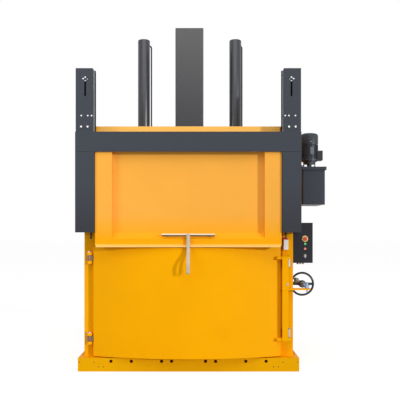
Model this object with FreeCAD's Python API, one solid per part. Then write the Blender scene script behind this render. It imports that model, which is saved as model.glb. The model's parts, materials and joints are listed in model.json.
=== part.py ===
import FreeCAD, Part
import math
import os

# Vertical mill-size recycling baler. Millimetres, +Z up, +X to the right seen from the front,
# the front faces -Y. Origin on the floor, in the middle of the base frame.

# ---- driving dimensions: chamber, base and chassis ----
chamber_w = 1829.0
chamber_d = 1067.0
base_h = 134.0
base_step = 100.0
base_side_reach = 45.5
liner_t = 12.5
floor_t = 10.0
base_side_t = 8.0
post_w = 131.5
post_d = 100.0
post_wall = 6.0
post_corner = 9.0
frame_top = 2433.0
girder_h = 200.0
girder_w = 90.0
girder_wall = 8.0
tie_inset = 214.5
tie_w = 60.0
tie_drop = 50.0
header_h = 133.0
seat_margin = 20.0
guide_wall = 10.0
guide_flange = 40.0
guide_flange_t = 12.0
wall_t = 8.0
rib_w = 70.0
rib_h = 60.0
rib_t = 5.0
rib_pitch = 330.0
rib_first = 250.0
rear_wall_top = 2080.0

# ---- strapping channels ----
strap_x = [167.0, 266.0, 564.0, 765.0]
strap_hole_d = 33.0
strap_hole_z = 101.0
service_hole_d = 11.0
service_holes = [(18.0, 92.0), (160.0, 92.0), (206.0, 46.0), (254.0, 46.0)]
strap_slot_w = 16.0
channel_w = 44.0
channel_t = 4.0
channel_h = 46.0

# ---- anchoring ----
anchor_side_inset = 96.5
anchor_inset = 38.0
anchor_hole_d = 18.0
anchor_plate = 110.0
anchor_plate_l = 130.0
anchor_access_d = 26.0
rib_x = [60.0, 415.0]

# ---- loading hatch and its guide ----
beam_low = 2152.0
beam_high = 2345.0
beam_reach = 46.0
cover_front = 130.0
cover_t = 4.0
cover_seam = 1.5
leg_low = 1372.0
leg_lap = 7.5
tower_offset = 13.5
tower_w = 166.0
tower_front = 91.0
tower_t = 5.0
tower_top = 2967.0
tower_tie_h = 90.0
tower_tie_first = 60.0
tower_tie_pitch = 380.0
tower_mark = 73.5
tower_slot_w = 17.0
tower_slot_l = 156.0
tower_slot_drop = 117.0
tower_hole_d = 16.0
tower_dots = [(-20.5, 101.0), (0.0, 87.0), (20.5, 101.0), (38.5, 460.0), (-24.5, 460.0), (-61.5, 460.0)]
bolt_places = [(38.5, 569.0), (-24.5, 569.0)]
bolt_across = 18.0
bolt_head = 8.0
sheave_window = 20.0
hatch_side_gap = 11.5
hatch_low = 1247.0
hatch_high = 2200.0
hatch_front = 110.0
hatch_fold = 60.0
hatch_sheet = 4.0
strip_w = 163.0
recess_low = 1366.0
ledge_low = 1311.0
lip_inset = 11.0
lip_out = 30.0
lip_t = 17.0
hatch_travel = 640.0
rail_t = 4.0
rail_foot = 36.0
rail_clear = 10.0
shoe_l = 110.0
shoe_play = 0.6
shoe_low_rise = 20.0
shoe_top_drop = 30.0
stiffener_h = 40.0
stiffener_t = 3.0
stiffener_rise = 213.0
stiffener_pitch = 300.0
rope_anchor_h = 12.0

# ---- pull handle and strap ----
bar_d = 27.0
bar_l = 512.0
bar_z = 1348.0
bar_ahead = 12.0
stud_d = 14.0
stud_inset = 50.0
strap_w = 34.0
strap_t = 3.0
strap_drop = 375.0
strap_loop_r = 42.0
strap_kick = 78.0

# ---- counterweights ----
sheave_r = 42.0
sheave_rise = 33.0
sheave_inset = 8.0
sheave_w = 14.0
sheave_pin_r = 10.0
rope_d = 6.0
weight_w = 104.0
weight_d = 120.0
weight_h = 310.0
weight_plates = 7
weight_seam = 2.0
weight_drop = 115.0
weight_eye_h = 10.0

# ---- door ----
door_lap = 31.5
door_free_gap = 0.5
door_low = 144.0
door_high = 1226.0
door_bulge = 157.0
door_edge_front = 43.0
door_sheet = 6.0
door_seat = 1.0
door_gap = 9.5
door_rib_t = 8.0
door_ribs = 4
hinge_inset = 60.0
hinge_out = 55.0
knuckle_d = 38.0
hinge_pin_d = 24.0
knuckle_h = 54.0
hinge_low_z = 318.0
hinge_high_z = 1118.0
pin_fit = 0.05
ear_t = 27.0
ear_gap = 2.0
ear_margin = 8.0
hinge_leaf_t = 24.0

# ---- lock ----
lock_inset = 53.0
lock_out = 55.0
lock_bar_w = 61.0
lock_bar_gap = 9.0
lock_low = 301.0
lock_high = 1135.0
lock_arm_t = 28.0
lock_bar_t = 14.0
lock_front = 112.0
lock_arm_gap = 5.0
lock_eye_d = 44.0
lock_pin_d = 20.0
lock_tube_d = 32.0
lock_bearing_gap = 3.0
low_bearing_l = 83.0
high_bearing_l = 73.0
lug_l = 43.0
lever_z = 803.0
lever_t = 16.0
lever_past_pin = 30.0
lock_swing_deg = 28.0

# ---- turnbuckle ----
screw_out = 126.0
screw_z = 836.0
screw_eye_d = 44.0
screw_eye_h = 26.0
screw_inside = 72.0
screw_d = 24.0
screw_pin_d = 18.0
screw_pin_below = 54.0
screw_pin_above = 28.0
screw_pin_back = 20.0
slot_play = 2.6
sleeve_d = 48.0
sleeve_front = 146.0
sleeve_back = 610.0
wheel_d = 250.0
wheel_rim_d = 22.0
wheel_hub_d = 76.0
wheel_hub_l = 48.0
wheel_arm_h = 30.0
wheel_arm_t = 15.0
wheel_back = 318.0
anchor_lug_back = 720.0
anchor_foot_w = 150.0
anchor_foot_below = 190.0
anchor_foot_above = 60.0
anchor_ear_t = 12.0
anchor_ear_w = 56.0
anchor_ear_gap = 1.0

# ---- platen and hydraulics ----
platen_gap = 7.0
platen_drop = 528.0
platen_t = 12.0
platen_skirt = 60.0
platen_beam = 120.0
platen_travel = 1100.0
platen_wall = 8.0
platen_beam_in = 110.0
platen_beam_out = 190.0
platen_cap_t = 20.0
platen_rib_t = 10.0
platen_rib_l = 230.0
platen_rib_inset = 57.5
shoe_w = 70.0
shoe_inset = 62.0
column_w = 300.0
column_wall = 12.0
column_corner = 14.0
column_cap = 10.0
column_spare = 16.0
column_gap = 1.0
pad_t = 15.0
guide_h = 70.0
cyl_x = 498.0
barrel_d = 130.0
barrel_bore_d = 108.0
barrel_clear = 112.0
rod_shoulder_d = 106.0
rod_shoulder_h = 30.0
gland_h = 60.0
rod_d = 70.0
piston_h = 60.0
barrel_cap = 30.0
stroke_spare = 6.0
running_gap = 0.05
flange_w = 210.0
flange_t = 25.0
pipe_d = 16.0
pipe_x = 76.0
pipe_y = 68.0
pipe_elbow_drop = 46.0
pipe_bend = 24.0
port_d = 30.0
manifold_gap = 57.0
valve_coil_d = 44.0
valve_coil_l = 70.0
return_drop = 150.0
return_bend = 40.0
manifold_w = 120.0
manifold_h = 80.0

# ---- power pack ----
tank_side = 117.0
tank_w = 235.0
tank_front = 250.0
tank_d = 470.0
tank_low = 1656.0
tank_high = 2036.0
tank_wall = 4.0
tank_corner = 14.0
lid_over = 14.0
lid_t = 8.0
lid_rim_h = 24.0
lid_rim_t = 4.0
filler_inset = 60.0
filler_d = 46.0
filler_h = 20.0
filler_cap_d = 62.0
filler_cap_h = 34.0
console_t = 10.0
console_h = 200.0
motor_inset = 107.0
motor_back = 450.0
motor_d = 168.0
fin_d = 186.0
fin_count = 28
fin_t = 3.2
bell_flange_d = 168.0
bell_bore_d = 104.0
pad_rise = 60.0
pad_h = 68.0
pad_w = 34.0
terminal_in = 61.0
terminal_out = 132.0
terminal_front = 58.0
terminal_back = 42.0
terminal_h = 102.0
bell_high = 2125.0
body_high = 2302.0
cowl_high = 2411.0

# ---- controls ----
box_side = 3.0
box_w = 193.0
box_wall = 3.0
box_low = 1067.0
box_high = 1465.0
box_front = 110.0
box_d = 180.0
cover_depth = 14.0
cover_front_t = 4.0
button_inset = 76.0
selector_plate_w = 48.0
selector_grip_w = 10.0
selector_grip_l = 38.0
gland_first = 55.0
gland_pitch = 27.0
switch_low = 1198.0
switch_h = 101.0
switch_w = 46.0
switch_d = 42.0
switch_inset = 54.0
estop_z = 1307.0
green_z = 1256.0
red_z = 1207.0
selector_z = 1135.0

# ---- places worked out from the sizes above ----
chamber_x = chamber_w / 2
chamber_y = chamber_d / 2
post_x = chamber_x + post_w
base_w = 2 * (post_x + base_side_reach)
post_front = -chamber_y - liner_t + door_seat
post_back = post_front + post_d
front = post_front - base_step
base_d = -2 * front
rear_post_front = chamber_y - post_d
wall_back = chamber_y + wall_t
strap_places = [side * x for x in strap_x for side in (-1, 1)]
channel_low = base_h - floor_t - channel_h
anchor_x = base_w / 2 - anchor_side_inset
hinge_x = post_x - hinge_inset
lock_x = post_x - lock_inset
lock_bar_out = lock_x - lock_bar_gap
lock_bar_in = lock_bar_out - lock_bar_w
door_left = chamber_x + door_lap
door_right = chamber_x - door_free_gap
lock_arm_in = door_right + lock_arm_gap
screw_x = post_x + screw_out
beam_half = post_x + beam_reach
leg_in = chamber_x - leg_lap
tower_in = chamber_x + tower_offset
tower_out = tower_in + tower_w
tower_middle = tower_in + tower_mark
hatch_half_w = chamber_x - hatch_side_gap
recess_half_w = hatch_half_w - strip_w
lip_half_w = hatch_half_w - lip_inset
tank_in = post_x + tank_side
tank_out = tank_in + tank_w
motor_x = tank_in + motor_inset
box_in = post_x + box_side
box_out = box_in + box_w
button_x = box_out - button_inset
manifold_x = cyl_x + flange_w / 2 + seat_margin + manifold_gap
tie_x = chamber_x - tie_inset
hinge_y = post_front - hinge_out
lock_y = post_front - lock_out
guide_half = column_w / 2 + column_gap + pad_t
girder_in = guide_half + 6.0
girder_low = frame_top - girder_h
tower_y = front - tower_front
cover_y = front - cover_front
hatch_y = front - hatch_front
recess_y = hatch_y + hatch_fold
bar_y = hatch_y - bar_ahead
ledge_gap = bar_ahead + hatch_fold
door_back = post_front - door_seat
lock_front_y = post_front - lock_front
platen_half_w = chamber_x - platen_gap
platen_half_d = chamber_y - platen_gap
platen_low = frame_top - platen_drop
platen_plate = platen_low + platen_t
platen_top = platen_plate + platen_beam
screw_y = front + screw_pin_back
barrel_low = platen_top + platen_cap_t + rod_shoulder_h + barrel_clear
piston_top = barrel_low + gland_h + 2 * stroke_spare + platen_travel + piston_h - stroke_spare
barrel_top = piston_top + stroke_spare + barrel_cap
sheave_z = hatch_high + hatch_travel + sheave_r + sheave_rise
column_top = frame_top + platen_travel + column_spare
weight_top = tower_top - weight_drop
pipe_elbow_z = barrel_top - pipe_elbow_drop
console_low = tank_low - 7.0


def vec(x, y, z):
    return FreeCAD.Vector(x, y, z)


def block(x0, x1, y0, y1, z0, z1):
    low = vec(min(x0, x1), min(y0, y1), min(z0, z1))
    return Part.makeBox(abs(x1 - x0), abs(y1 - y0), abs(z1 - z0), low)


def rod(d, start, direction, length):
    return Part.makeCylinder(d / 2, length, vec(*start), vec(*direction))


def prism(points, direction):
    wire = Part.makePolygon([vec(*p) for p in points + points[:1]])
    return Part.Face(wire).extrude(vec(*direction))


def turned(profile, centre, axis):
    # profile is (radius, height) pairs turned about the local Z axis, then aimed along axis
    points = [vec(r, 0, h) for r, h in profile]
    face = Part.Face(Part.makePolygon(points + points[:1]))
    solid = face.revolve(vec(0, 0, 0), vec(0, 0, 1), 360)
    turn = FreeCAD.Rotation(vec(0, 0, 1), vec(*axis))
    solid.Placement = FreeCAD.Placement(vec(*centre), turn)
    return solid


def fused(pieces):
    whole = pieces[0]
    if len(pieces) > 1:
        whole = whole.multiFuse(pieces[1:])
    return whole.removeSplitter()


def mirrored(shape):
    return shape.mirror(vec(0, 0, 0), vec(1, 0, 0))


def tube_box(x0, x1, y0, y1, z0, z1, wall, along, corner=0):
    # square hollow section, open at both ends of its length
    outer = block(x0, x1, y0, y1, z0, z1)
    if corner:
        outer = outer.makeFillet(corner, upright_edges(outer))
    grow = {axis: (0 if axis == along else wall) for axis in "xyz"}
    inner = block(x0 + grow["x"], x1 - grow["x"], y0 + grow["y"], y1 - grow["y"],
                  z0 + grow["z"], z1 - grow["z"])
    return outer.cut(inner)


def upright_edges(shape):
    return [edge for edge in shape.Edges
            if abs(edge.Vertexes[0].Z - edge.Vertexes[-1].Z) > 1]


def pipe(points, d, bend):
    # round pipe along straight runs joined by tangent arcs of radius bend
    places = [vec(*p) for p in points]
    edges = []
    start = places[0]
    for before, corner, after in zip(places, places[1:], places[2:]):
        back = (before - corner).normalize()
        ahead = (after - corner).normalize()
        half = back.getAngle(ahead) / 2
        run = bend / math.tan(half)
        arc_in = corner + back * run
        arc_out = corner + ahead * run
        inward = (back + ahead).normalize()
        middle = corner + inward * (bend / math.sin(half) - bend)
        edges.append(Part.LineSegment(start, arc_in).toShape())
        edges.append(Part.Arc(arc_in, middle, arc_out).toShape())
        start = arc_out
    edges.append(Part.LineSegment(start, places[-1]).toShape())
    path = Part.Wire(edges)
    heading = places[1] - places[0]
    circle = Part.Wire(Part.makeCircle(d / 2, places[0], heading))
    return path.makePipeShell([circle], True, False)


# ---- base frame ----
def base_front_plate():
    plate = block(-base_w / 2, base_w / 2, front, front + base_side_t, 0, base_h)
    holes = [rod(strap_hole_d, (x, front, strap_hole_z), (0, 1, 0), base_side_t)
             for x in strap_places]
    for inset, z in service_holes:
        for side in (-1, 1):
            x = side * (base_w / 2 - inset)
            holes.append(rod(service_hole_d, (x, front, z), (0, 1, 0), base_side_t))
    return plate.cut(Part.makeCompound(holes))


def floor_plates():
    # floor of the chamber: plates laid side by side, with a slot over each strapping channel
    half = base_w / 2
    low = base_h - floor_t
    inner = front + base_side_t
    edges = [-half]
    for x in sorted(strap_places):
        edges += [x - strap_slot_w / 2, x + strap_slot_w / 2]
    edges.append(half)
    plates = []
    for x0, x1 in zip(edges[::2], edges[1::2]):
        plate = block(x0, x1, inner, -inner, low, base_h)
        if abs(x0 + x1) > chamber_w:
            side = 1 if x0 > 0 else -1
            plate = plate.cut(Part.makeCompound(
                [rod(anchor_access_d, (side * anchor_x, end * (base_d / 2 - anchor_inset), low),
                     (0, 0, 1), floor_t) for end in (-1, 1)]))
        plates.append(plate)
    return plates


def anchor_plate_at(side, end):
    # corner plate on the ground with one anchor hole
    half = base_w / 2 - base_side_t
    y = end * (base_d / 2 - base_side_t)
    hole_y = end * (base_d / 2 - anchor_inset)
    plate = block(side * half, side * (half - anchor_plate_l), y, y - end * anchor_plate,
                  0, floor_t)
    return plate.cut(rod(anchor_hole_d, (side * anchor_x, hole_y, 0), (0, 0, 1), floor_t))


def base_frame():
    # plates on edge under the floor, welded where they meet
    half = base_w / 2
    inner = front + base_side_t
    high = base_h - floor_t
    t = base_side_t
    pieces = floor_plates()
    pieces += [block(-half, half, -inner, -front, 0, high),
               block(-rib_x[0], rib_x[0], inner, -inner, 0, t)]
    for side in (-1, 1):
        pieces.append(block(side * half, side * (half - t), inner, -inner, 0, high))
        for x in rib_x + [chamber_x]:
            pieces.append(block(side * x, side * (x + t), inner, -inner, 0, high))
        for end in (-1, 1):
            pieces.append(anchor_plate_at(side, end))
    return Part.makeCompound(pieces)


def strap_channels():
    # bottom strip and two walls of each channel, welded to the floor above
    strips = []
    inner = base_d / 2 - base_side_t
    high = base_h - floor_t
    for x in strap_places:
        left = x - channel_w / 2
        right = x + channel_w / 2
        strips += [block(left, right, -inner, inner, channel_low, channel_low + channel_t),
                   block(left, left + channel_t, -inner, inner, channel_low + channel_t, high),
                   block(right - channel_t, right, -inner, inner, channel_low + channel_t, high)]
    return Part.makeCompound(strips)


# ---- chassis ----
def front_post():
    high = frame_top - post_wall
    tube = tube_box(chamber_x, post_x, post_front, post_back, base_h, high, post_wall, "z",
                    post_corner)
    cap = block(chamber_x, post_x, post_front, post_back, high, frame_top)
    return fused([tube, cap.makeFillet(post_corner, upright_edges(cap))])


def rear_post():
    high = frame_top - post_wall
    tube = tube_box(chamber_x + wall_t, post_x, rear_post_front, chamber_y, base_h, high,
                    post_wall, "z", post_corner)
    cap = block(chamber_x + wall_t, post_x, rear_post_front, chamber_y, high, frame_top)
    return fused([tube, cap.makeFillet(post_corner, upright_edges(cap))])


def rib_levels(top):
    levels = []
    z = rib_first
    while z + rib_h < top:
        levels.append(z)
        z += rib_pitch
    return levels


def side_wall():
    x = chamber_x + wall_t
    plate = block(chamber_x, x, post_back, chamber_y, base_h, girder_low)
    ribs = []
    for z in rib_levels(girder_low):
        outer = block(x, x + rib_w, post_back, rear_post_front, z, z + rib_h)
        hollow = block(x, x + rib_w - rib_t, post_back, rear_post_front,
                       z + rib_t, z + rib_h - rib_t)
        ribs.append(outer.cut(hollow))
    return [plate] + ribs


def rear_wall():
    plate = block(-post_x, post_x, chamber_y, wall_back, base_h, rear_wall_top)
    ribs = []
    for z in rib_levels(rear_wall_top):
        outer = block(-post_x, post_x, wall_back, wall_back + rib_w, z, z + rib_h)
        hollow = block(-post_x, post_x, wall_back, wall_back + rib_w - rib_t,
                       z + rib_t, z + rib_h - rib_t)
        ribs.append(outer.cut(hollow))
    return Part.makeCompound([plate] + ribs)


def top_girder(side):
    y0 = side * girder_in
    y1 = side * (girder_in + girder_w)
    return tube_box(-chamber_x, chamber_x, min(y0, y1), max(y0, y1), girder_low,
                    frame_top, girder_wall, "x")


def front_header():
    return tube_box(-chamber_x, chamber_x, post_front, post_back, frame_top - header_h,
                    frame_top, post_wall, "x")


def rear_header():
    return tube_box(-chamber_x, chamber_x, rear_post_front, chamber_y, frame_top - header_h,
                    frame_top, post_wall, "x")


def top_side_plate():
    # gusset that closes each side between the posts and takes the girders' ends
    return block(chamber_x, chamber_x + wall_t, post_back, rear_post_front, girder_low,
                 frame_top)


def cylinder_seat(side):
    seat_y = girder_in + girder_w
    x = side * cyl_x
    reach = flange_w / 2 + seat_margin
    plate = block(x - reach, x + reach, -seat_y, seat_y, frame_top, frame_top + flange_t)
    return plate.cut(rod(barrel_d + 2, (x, 0, frame_top), (0, 0, 1), flange_t))


def column_guide():
    outer = guide_half + guide_wall
    low = frame_top - guide_h
    high = frame_top + guide_flange_t
    whole = fused([block(-outer, outer, -girder_in, girder_in, low, frame_top),
                   block(-outer - guide_flange, outer + guide_flange,
                         -girder_in - guide_flange, girder_in + guide_flange,
                         frame_top, high)])
    return whole.cut(block(-guide_half, guide_half, -guide_half, guide_half, low, high))


def guide_pads():
    pads = []
    half = column_w / 2 + column_gap
    reach = column_w / 2 - 2 * column_corner
    low = frame_top - guide_h
    high = frame_top + guide_flange_t
    for side in (-1, 1):
        pads.append(block(side * half, side * guide_half, -reach, reach, low, high))
        pads.append(block(-reach, reach, side * half, side * guide_half, low, high))
    return Part.makeCompound(pads)


# ---- hatch guide: beam, covers, towers, rails ----
def front_beam():
    half = beam_half
    face = block(-half, half, cover_y, cover_y + cover_t, beam_low, beam_high)
    pieces = [face]
    fold_back = (cover_y + 2 * hatch_y) / 3
    pieces.append(block(-half, half, cover_y, fold_back, beam_high - cover_t, beam_high))
    pieces.append(block(-half, half, cover_y, fold_back, beam_low, beam_low + cover_t))
    for side in (-1, 1):
        pieces.append(block(side * leg_in, side * half, cover_y, tower_y,
                            beam_high - cover_t, beam_high))
        pieces.append(block(side * (half - cover_t), side * half, cover_y, tower_y,
                            beam_low, beam_high))
        pieces.append(block(side * leg_in, side * (leg_in + cover_t), cover_y, tower_y,
                            beam_low, beam_high))
    return fused(pieces)


def leg_cover():
    high = beam_low - cover_seam
    outer = block(leg_in, beam_half, cover_y, tower_y, leg_low, high)
    hollow = block(leg_in + cover_t, beam_half - cover_t, cover_y + cover_t, tower_y,
                   leg_low + cover_t, high)
    return outer.cut(hollow)


def tower():
    outer = block(tower_in, tower_out, tower_y, post_front, leg_low, tower_top)
    hollow = block(tower_in + tower_t, tower_out - tower_t, tower_y + tower_t,
                   post_front, leg_low + tower_t, tower_top)
    pieces = [outer.cut(hollow)]
    z = leg_low + tower_tie_first
    while z + tower_tie_h < frame_top:
        pieces.append(block(tower_in + tower_t, tower_out - tower_t,
                            post_front - tower_t, post_front, z, z + tower_tie_h))
        z += tower_tie_pitch
    whole = fused(pieces)
    slot_high = tower_top - tower_slot_drop
    slot_low = slot_high - tower_slot_l
    r = tower_slot_w / 2
    cuts = [block(tower_middle - r, tower_middle + r, tower_y, tower_y + tower_t,
                  slot_low + r, slot_high - r)]
    for z in (slot_low + r, slot_high - r):
        cuts.append(rod(tower_slot_w, (tower_middle, tower_y, z), (0, 1, 0), tower_t))
    for x, drop in tower_dots:
        cuts.append(rod(tower_hole_d, (tower_middle + x, tower_y, tower_top - drop),
                        (0, 1, 0), tower_t))
    # window for the sheave in the inner flange
    cuts.append(block(tower_in, tower_in + tower_t, weight_y() - sheave_window,
                      weight_y() + sheave_window, sheave_z - sheave_r - 15, tower_top))
    return whole.cut(Part.makeCompound(cuts))


def hexagon(x, y, z, across, height, direction):
    # hexagon head of a screw, centred on x, y, z and standing out along direction
    r = across / math.sqrt(3)
    head = Part.makePolygon([vec(r * math.cos(math.radians(60 * i)), 0,
                                 r * math.sin(math.radians(60 * i))) for i in range(7)])
    solid = Part.Face(head).extrude(vec(0, direction * height, 0))
    solid.translate(vec(x, y, z))
    return solid


def tower_bolts():
    heads = []
    for side in (-1, 1):
        for x, drop in bolt_places:
            heads.append(hexagon(side * (tower_middle + x), tower_y, tower_top - drop,
                                 bolt_across, bolt_head, -1))
    return heads


def weight_y():
    return (tower_y + tower_t + post_front - tower_t) / 2


def sheave_x():
    return tower_in - sheave_inset + sheave_r


def guide_rail():
    # angle bolted to the inner flange of the tower, its free leg towards the hatch
    y = rail_y()
    z0 = leg_low + 10
    z1 = tower_top - 12
    foot = block(tower_in - rail_t, tower_in, y, y + rail_foot, z0, z1)
    blade = block(hatch_half_w + rail_t, tower_in - rail_t, y, y + rail_t, z0, z1)
    return fused([foot, blade])


def rail_y():
    return recess_y + rail_clear


def sheave_pin():
    y = weight_y()
    return rod(2 * sheave_pin_r, (sheave_x(), tower_y + tower_t, sheave_z), (0, 1, 0),
               post_front - tower_y - tower_t)


def sheave():
    groove = 0.6 * rope_d
    rim = sheave_r + rope_d / 3
    bore = sheave_pin_r + pin_fit
    half = sheave_w / 2
    root = sheave_r - rope_d / 2 - 0.3
    profile = [(bore, -half), (rim, -half), (rim, -groove - 1), (root, -groove),
               (root, groove), (rim, groove + 1), (rim, half), (bore, half)]
    return turned(profile, (sheave_x(), weight_y(), sheave_z), (0, 1, 0))


def counterweight():
    x = sheave_x() + sheave_r
    x0 = x - weight_w / 2
    low = weight_top - weight_h
    plates = []
    plate_h = weight_h / weight_plates
    for i in range(weight_plates):
        z = low + i * plate_h
        plates.append(block(x0, x0 + weight_w, weight_y() - weight_d / 2,
                            weight_y() + weight_d / 2, z, z + plate_h - weight_seam))
    bar = 4 * rope_d
    plates.append(block(x - bar / 2, x + bar / 2, weight_y() - bar / 2, weight_y() + bar / 2,
                        low, weight_top))
    plates.append(rod(2 * rope_d, (x, weight_y(), weight_top), (0, 0, 1), weight_eye_h))
    return fused(plates)


def rope_hatch_side():
    x = sheave_x() - sheave_r
    return rod(rope_d, (x, weight_y(), hatch_high), (0, 0, 1), sheave_z - hatch_high)


def rope_weight_side():
    x = sheave_x() + sheave_r
    low = weight_top + weight_eye_h
    return rod(rope_d, (x, weight_y(), low), (0, 0, 1), sheave_z - low)


# ---- hatch ----
def hatch_pressing():
    # pressed sheet: sunk panel, deep side strips, sloping ledge and a folded bottom rail
    half = hatch_half_w
    t = hatch_sheet
    body = block(-half, half, hatch_y, recess_y + t, hatch_low, hatch_high)
    recess = prism([(-recess_half_w, recess_y, recess_low),
                    (-recess_half_w, hatch_y, ledge_low),
                    (-recess_half_w, hatch_y, hatch_high),
                    (-recess_half_w, recess_y, hatch_high)], (2 * recess_half_w, 0, 0))
    back = [block(side * (recess_half_w + t), side * (half - t), hatch_y + t, recess_y + t,
                  hatch_low + t, hatch_high) for side in (-1, 1)]
    under = prism([(-recess_half_w, recess_y + t, recess_low - 8),
                   (-recess_half_w, hatch_y + t, ledge_low - 6),
                   (-recess_half_w, hatch_y + t, hatch_low + t),
                   (-recess_half_w, recess_y + t, hatch_low + t)],
                  (2 * recess_half_w, 0, 0))
    return body.cut(Part.makeCompound([recess, under] + back))


def hatch_lip():
    top = hatch_low
    return prism([(-lip_half_w, hatch_y - lip_out, top - lip_t),
                  (-lip_half_w, hatch_y - lip_out, top - 4),
                  (-lip_half_w, hatch_y, top),
                  (-lip_half_w, recess_y, top),
                  (-lip_half_w, recess_y, top - 5),
                  (-lip_half_w, hatch_y - lip_out + 6, top - lip_t)],
                 (2 * lip_half_w, 0, 0))


def hatch_stiffeners():
    y0 = recess_y + hatch_sheet
    bars = []
    z = hatch_low + stiffener_rise
    while z + stiffener_h < hatch_high:
        bars.append(tube_box(-recess_half_w, recess_half_w, y0, y0 + stiffener_h, z,
                             z + stiffener_h, stiffener_t, "x"))
        z += stiffener_pitch
    return bars


def hatch_panel():
    return fused([hatch_pressing(), hatch_lip()] + hatch_stiffeners() + rope_anchors())


def shoe_levels():
    return (leg_low + shoe_low_rise, hatch_high - shoe_l - shoe_top_drop)


def slide_shoes():
    shoes = []
    y = rail_y()
    for side in (-1, 1):
        for z in shoe_levels():
            body = block(side * (hatch_half_w - 18), side * (tower_in - rail_t - 2),
                         recess_y + hatch_sheet, y + rail_t + 14, z, z + shoe_l)
            slot = block(side * (hatch_half_w + rail_t / 2), side * tower_in, y - shoe_play,
                         y + rail_t + shoe_play, z, z + shoe_l)
            shoes.append(body.cut(slot))
    return Part.makeCompound(shoes)


def rope_anchors():
    anchors = []
    x = sheave_x() - sheave_r
    low = hatch_high - 20
    high = low + rope_anchor_h
    for side in (-1, 1):
        root = block(side * (hatch_half_w - 40), side * hatch_half_w, recess_y + hatch_sheet,
                     weight_y() + 8, low, high)
        arm = block(side * hatch_half_w, side * (x + 5), weight_y() - 8, weight_y() + 8,
                    low, high)
        eye = rod(10, (side * x, weight_y(), low), (0, 0, 1), 20)
        anchors.append(fused([root, arm, eye]))
    return anchors


def pull_handle():
    # round bar held off the sloping ledge by two studs
    bar = rod(bar_d, (-bar_l / 2, bar_y, bar_z), (1, 0, 0), bar_l)
    studs = [rod(stud_d, (side * (bar_l / 2 - stud_inset), bar_y, bar_z), (0, 1, 0),
                 ledge_gap) for side in (-1, 1)]
    shape = fused([bar] + studs).cut(hatch_pressing())
    return max(shape.Solids, key=lambda solid: solid.Volume)


def pull_strap():
    # webbing hung over the bar, both layers together past the lip, then open in a loop
    web = strap_t
    r_top = bar_d / 2 + web / 2 + 1.6
    lip_y = hatch_y - lip_out - web / 2 - 1.0
    lip_z = hatch_low + 4
    low_y = bar_y - strap_kick
    low_z = bar_z - strap_drop + strap_loop_r
    r = strap_loop_r - web / 2
    top = Part.Arc(vec(0, bar_y + r_top, bar_z), vec(0, bar_y, bar_z + r_top),
                   vec(0, bar_y - r_top, bar_z))
    corners = [vec(0, bar_y - r_top, bar_z), vec(0, lip_y - web - 0.6, lip_z),
               vec(0, low_y - r, low_z)]
    under = Part.Arc(vec(0, low_y - r, low_z), vec(0, low_y, low_z - r),
                     vec(0, low_y + r, low_z))
    back = [vec(0, low_y + r, low_z), vec(0, lip_y, lip_z), vec(0, bar_y + r_top, bar_z)]
    edges = [top.toShape()]
    edges += [Part.LineSegment(a, b).toShape() for a, b in zip(corners, corners[1:])]
    edges.append(under.toShape())
    edges += [Part.LineSegment(a, b).toShape() for a, b in zip(back, back[1:])]
    middle = Part.Wire(edges)
    outer = Part.Face(middle.makeOffset2D(web / 2))
    inner = Part.Face(middle.makeOffset2D(-web / 2))
    solid = outer.cut(inner).extrude(vec(strap_w, 0, 0))
    solid.translate(vec(-strap_w / 2, 0, 0))
    return solid


# ---- door ----
def door_outline(inset):
    # plan view of the door: bowed front, straight ends, open side towards the chamber
    edge_y = front + door_edge_front
    half = (door_left + door_right) / 2
    radius = (half ** 2 + door_bulge ** 2) / (2 * door_bulge)
    middle = (door_right - door_left) / 2
    centre_y = edge_y - door_bulge + radius
    reach = half - inset
    rise = math.sqrt((radius - inset) ** 2 - reach ** 2)
    left = vec(middle - reach, centre_y - rise, 0)
    right = vec(middle + reach, centre_y - rise, 0)
    crown = vec(middle, centre_y - radius + inset, 0)
    back_left = vec(middle - reach, door_back, 0)
    back_right = vec(middle + reach, door_back, 0)
    bow = Part.Arc(left, crown, right).toShape()
    sides = [Part.LineSegment(right, back_right).toShape(),
             Part.LineSegment(back_right, back_left).toShape(),
             Part.LineSegment(back_left, left).toShape()]
    return Part.Face(Part.Wire([bow] + sides))


def door_solid(inset, low, high):
    face = door_outline(inset)
    face.translate(vec(0, 0, low))
    return face.extrude(vec(0, 0, high - low))


def door_skin():
    # bowed pressing with closed ends, top and bottom, four ribs and the two locking lugs
    outer = door_solid(0, door_low, door_high)
    pieces = [outer.cut(door_solid(door_sheet, door_low + door_sheet,
                                   door_high - door_sheet))]
    step = (door_high - door_low) / (door_ribs + 1)
    for i in range(door_ribs):
        z = door_low + (i + 1) * step
        pieces.append(door_solid(door_sheet, z - door_rib_t / 2, z + door_rib_t / 2))
    for low in (lock_low, lock_high - lock_arm_t):
        lug = block(door_right - lug_l, door_right, lock_front_y, door_back, low,
                    low + lock_arm_t)
        pieces.append(lug.cut(outer))
    return fused(pieces)


def door_liner():
    half = chamber_x - door_gap
    return block(-half, half, door_back, -chamber_y, door_low, door_high)


def hinge_levels():
    return (hinge_low_z, hinge_high_z)


def hinge_brackets():
    brackets = []
    r = knuckle_d / 2 + ear_margin
    half = knuckle_h / 2 + ear_gap
    for z in hinge_levels():
        for low in (z + half, z - half - ear_t):
            ear = fused([rod(2 * r, (-hinge_x, hinge_y, low), (0, 0, 1), ear_t),
                         block(-hinge_x - r, -hinge_x + r, hinge_y, post_front,
                               low, low + ear_t)])
            brackets.append(ear.cut(rod(hinge_pin_d, (-hinge_x, hinge_y, low),
                                        (0, 0, 1), ear_t)))
    return Part.makeCompound(brackets)


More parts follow.
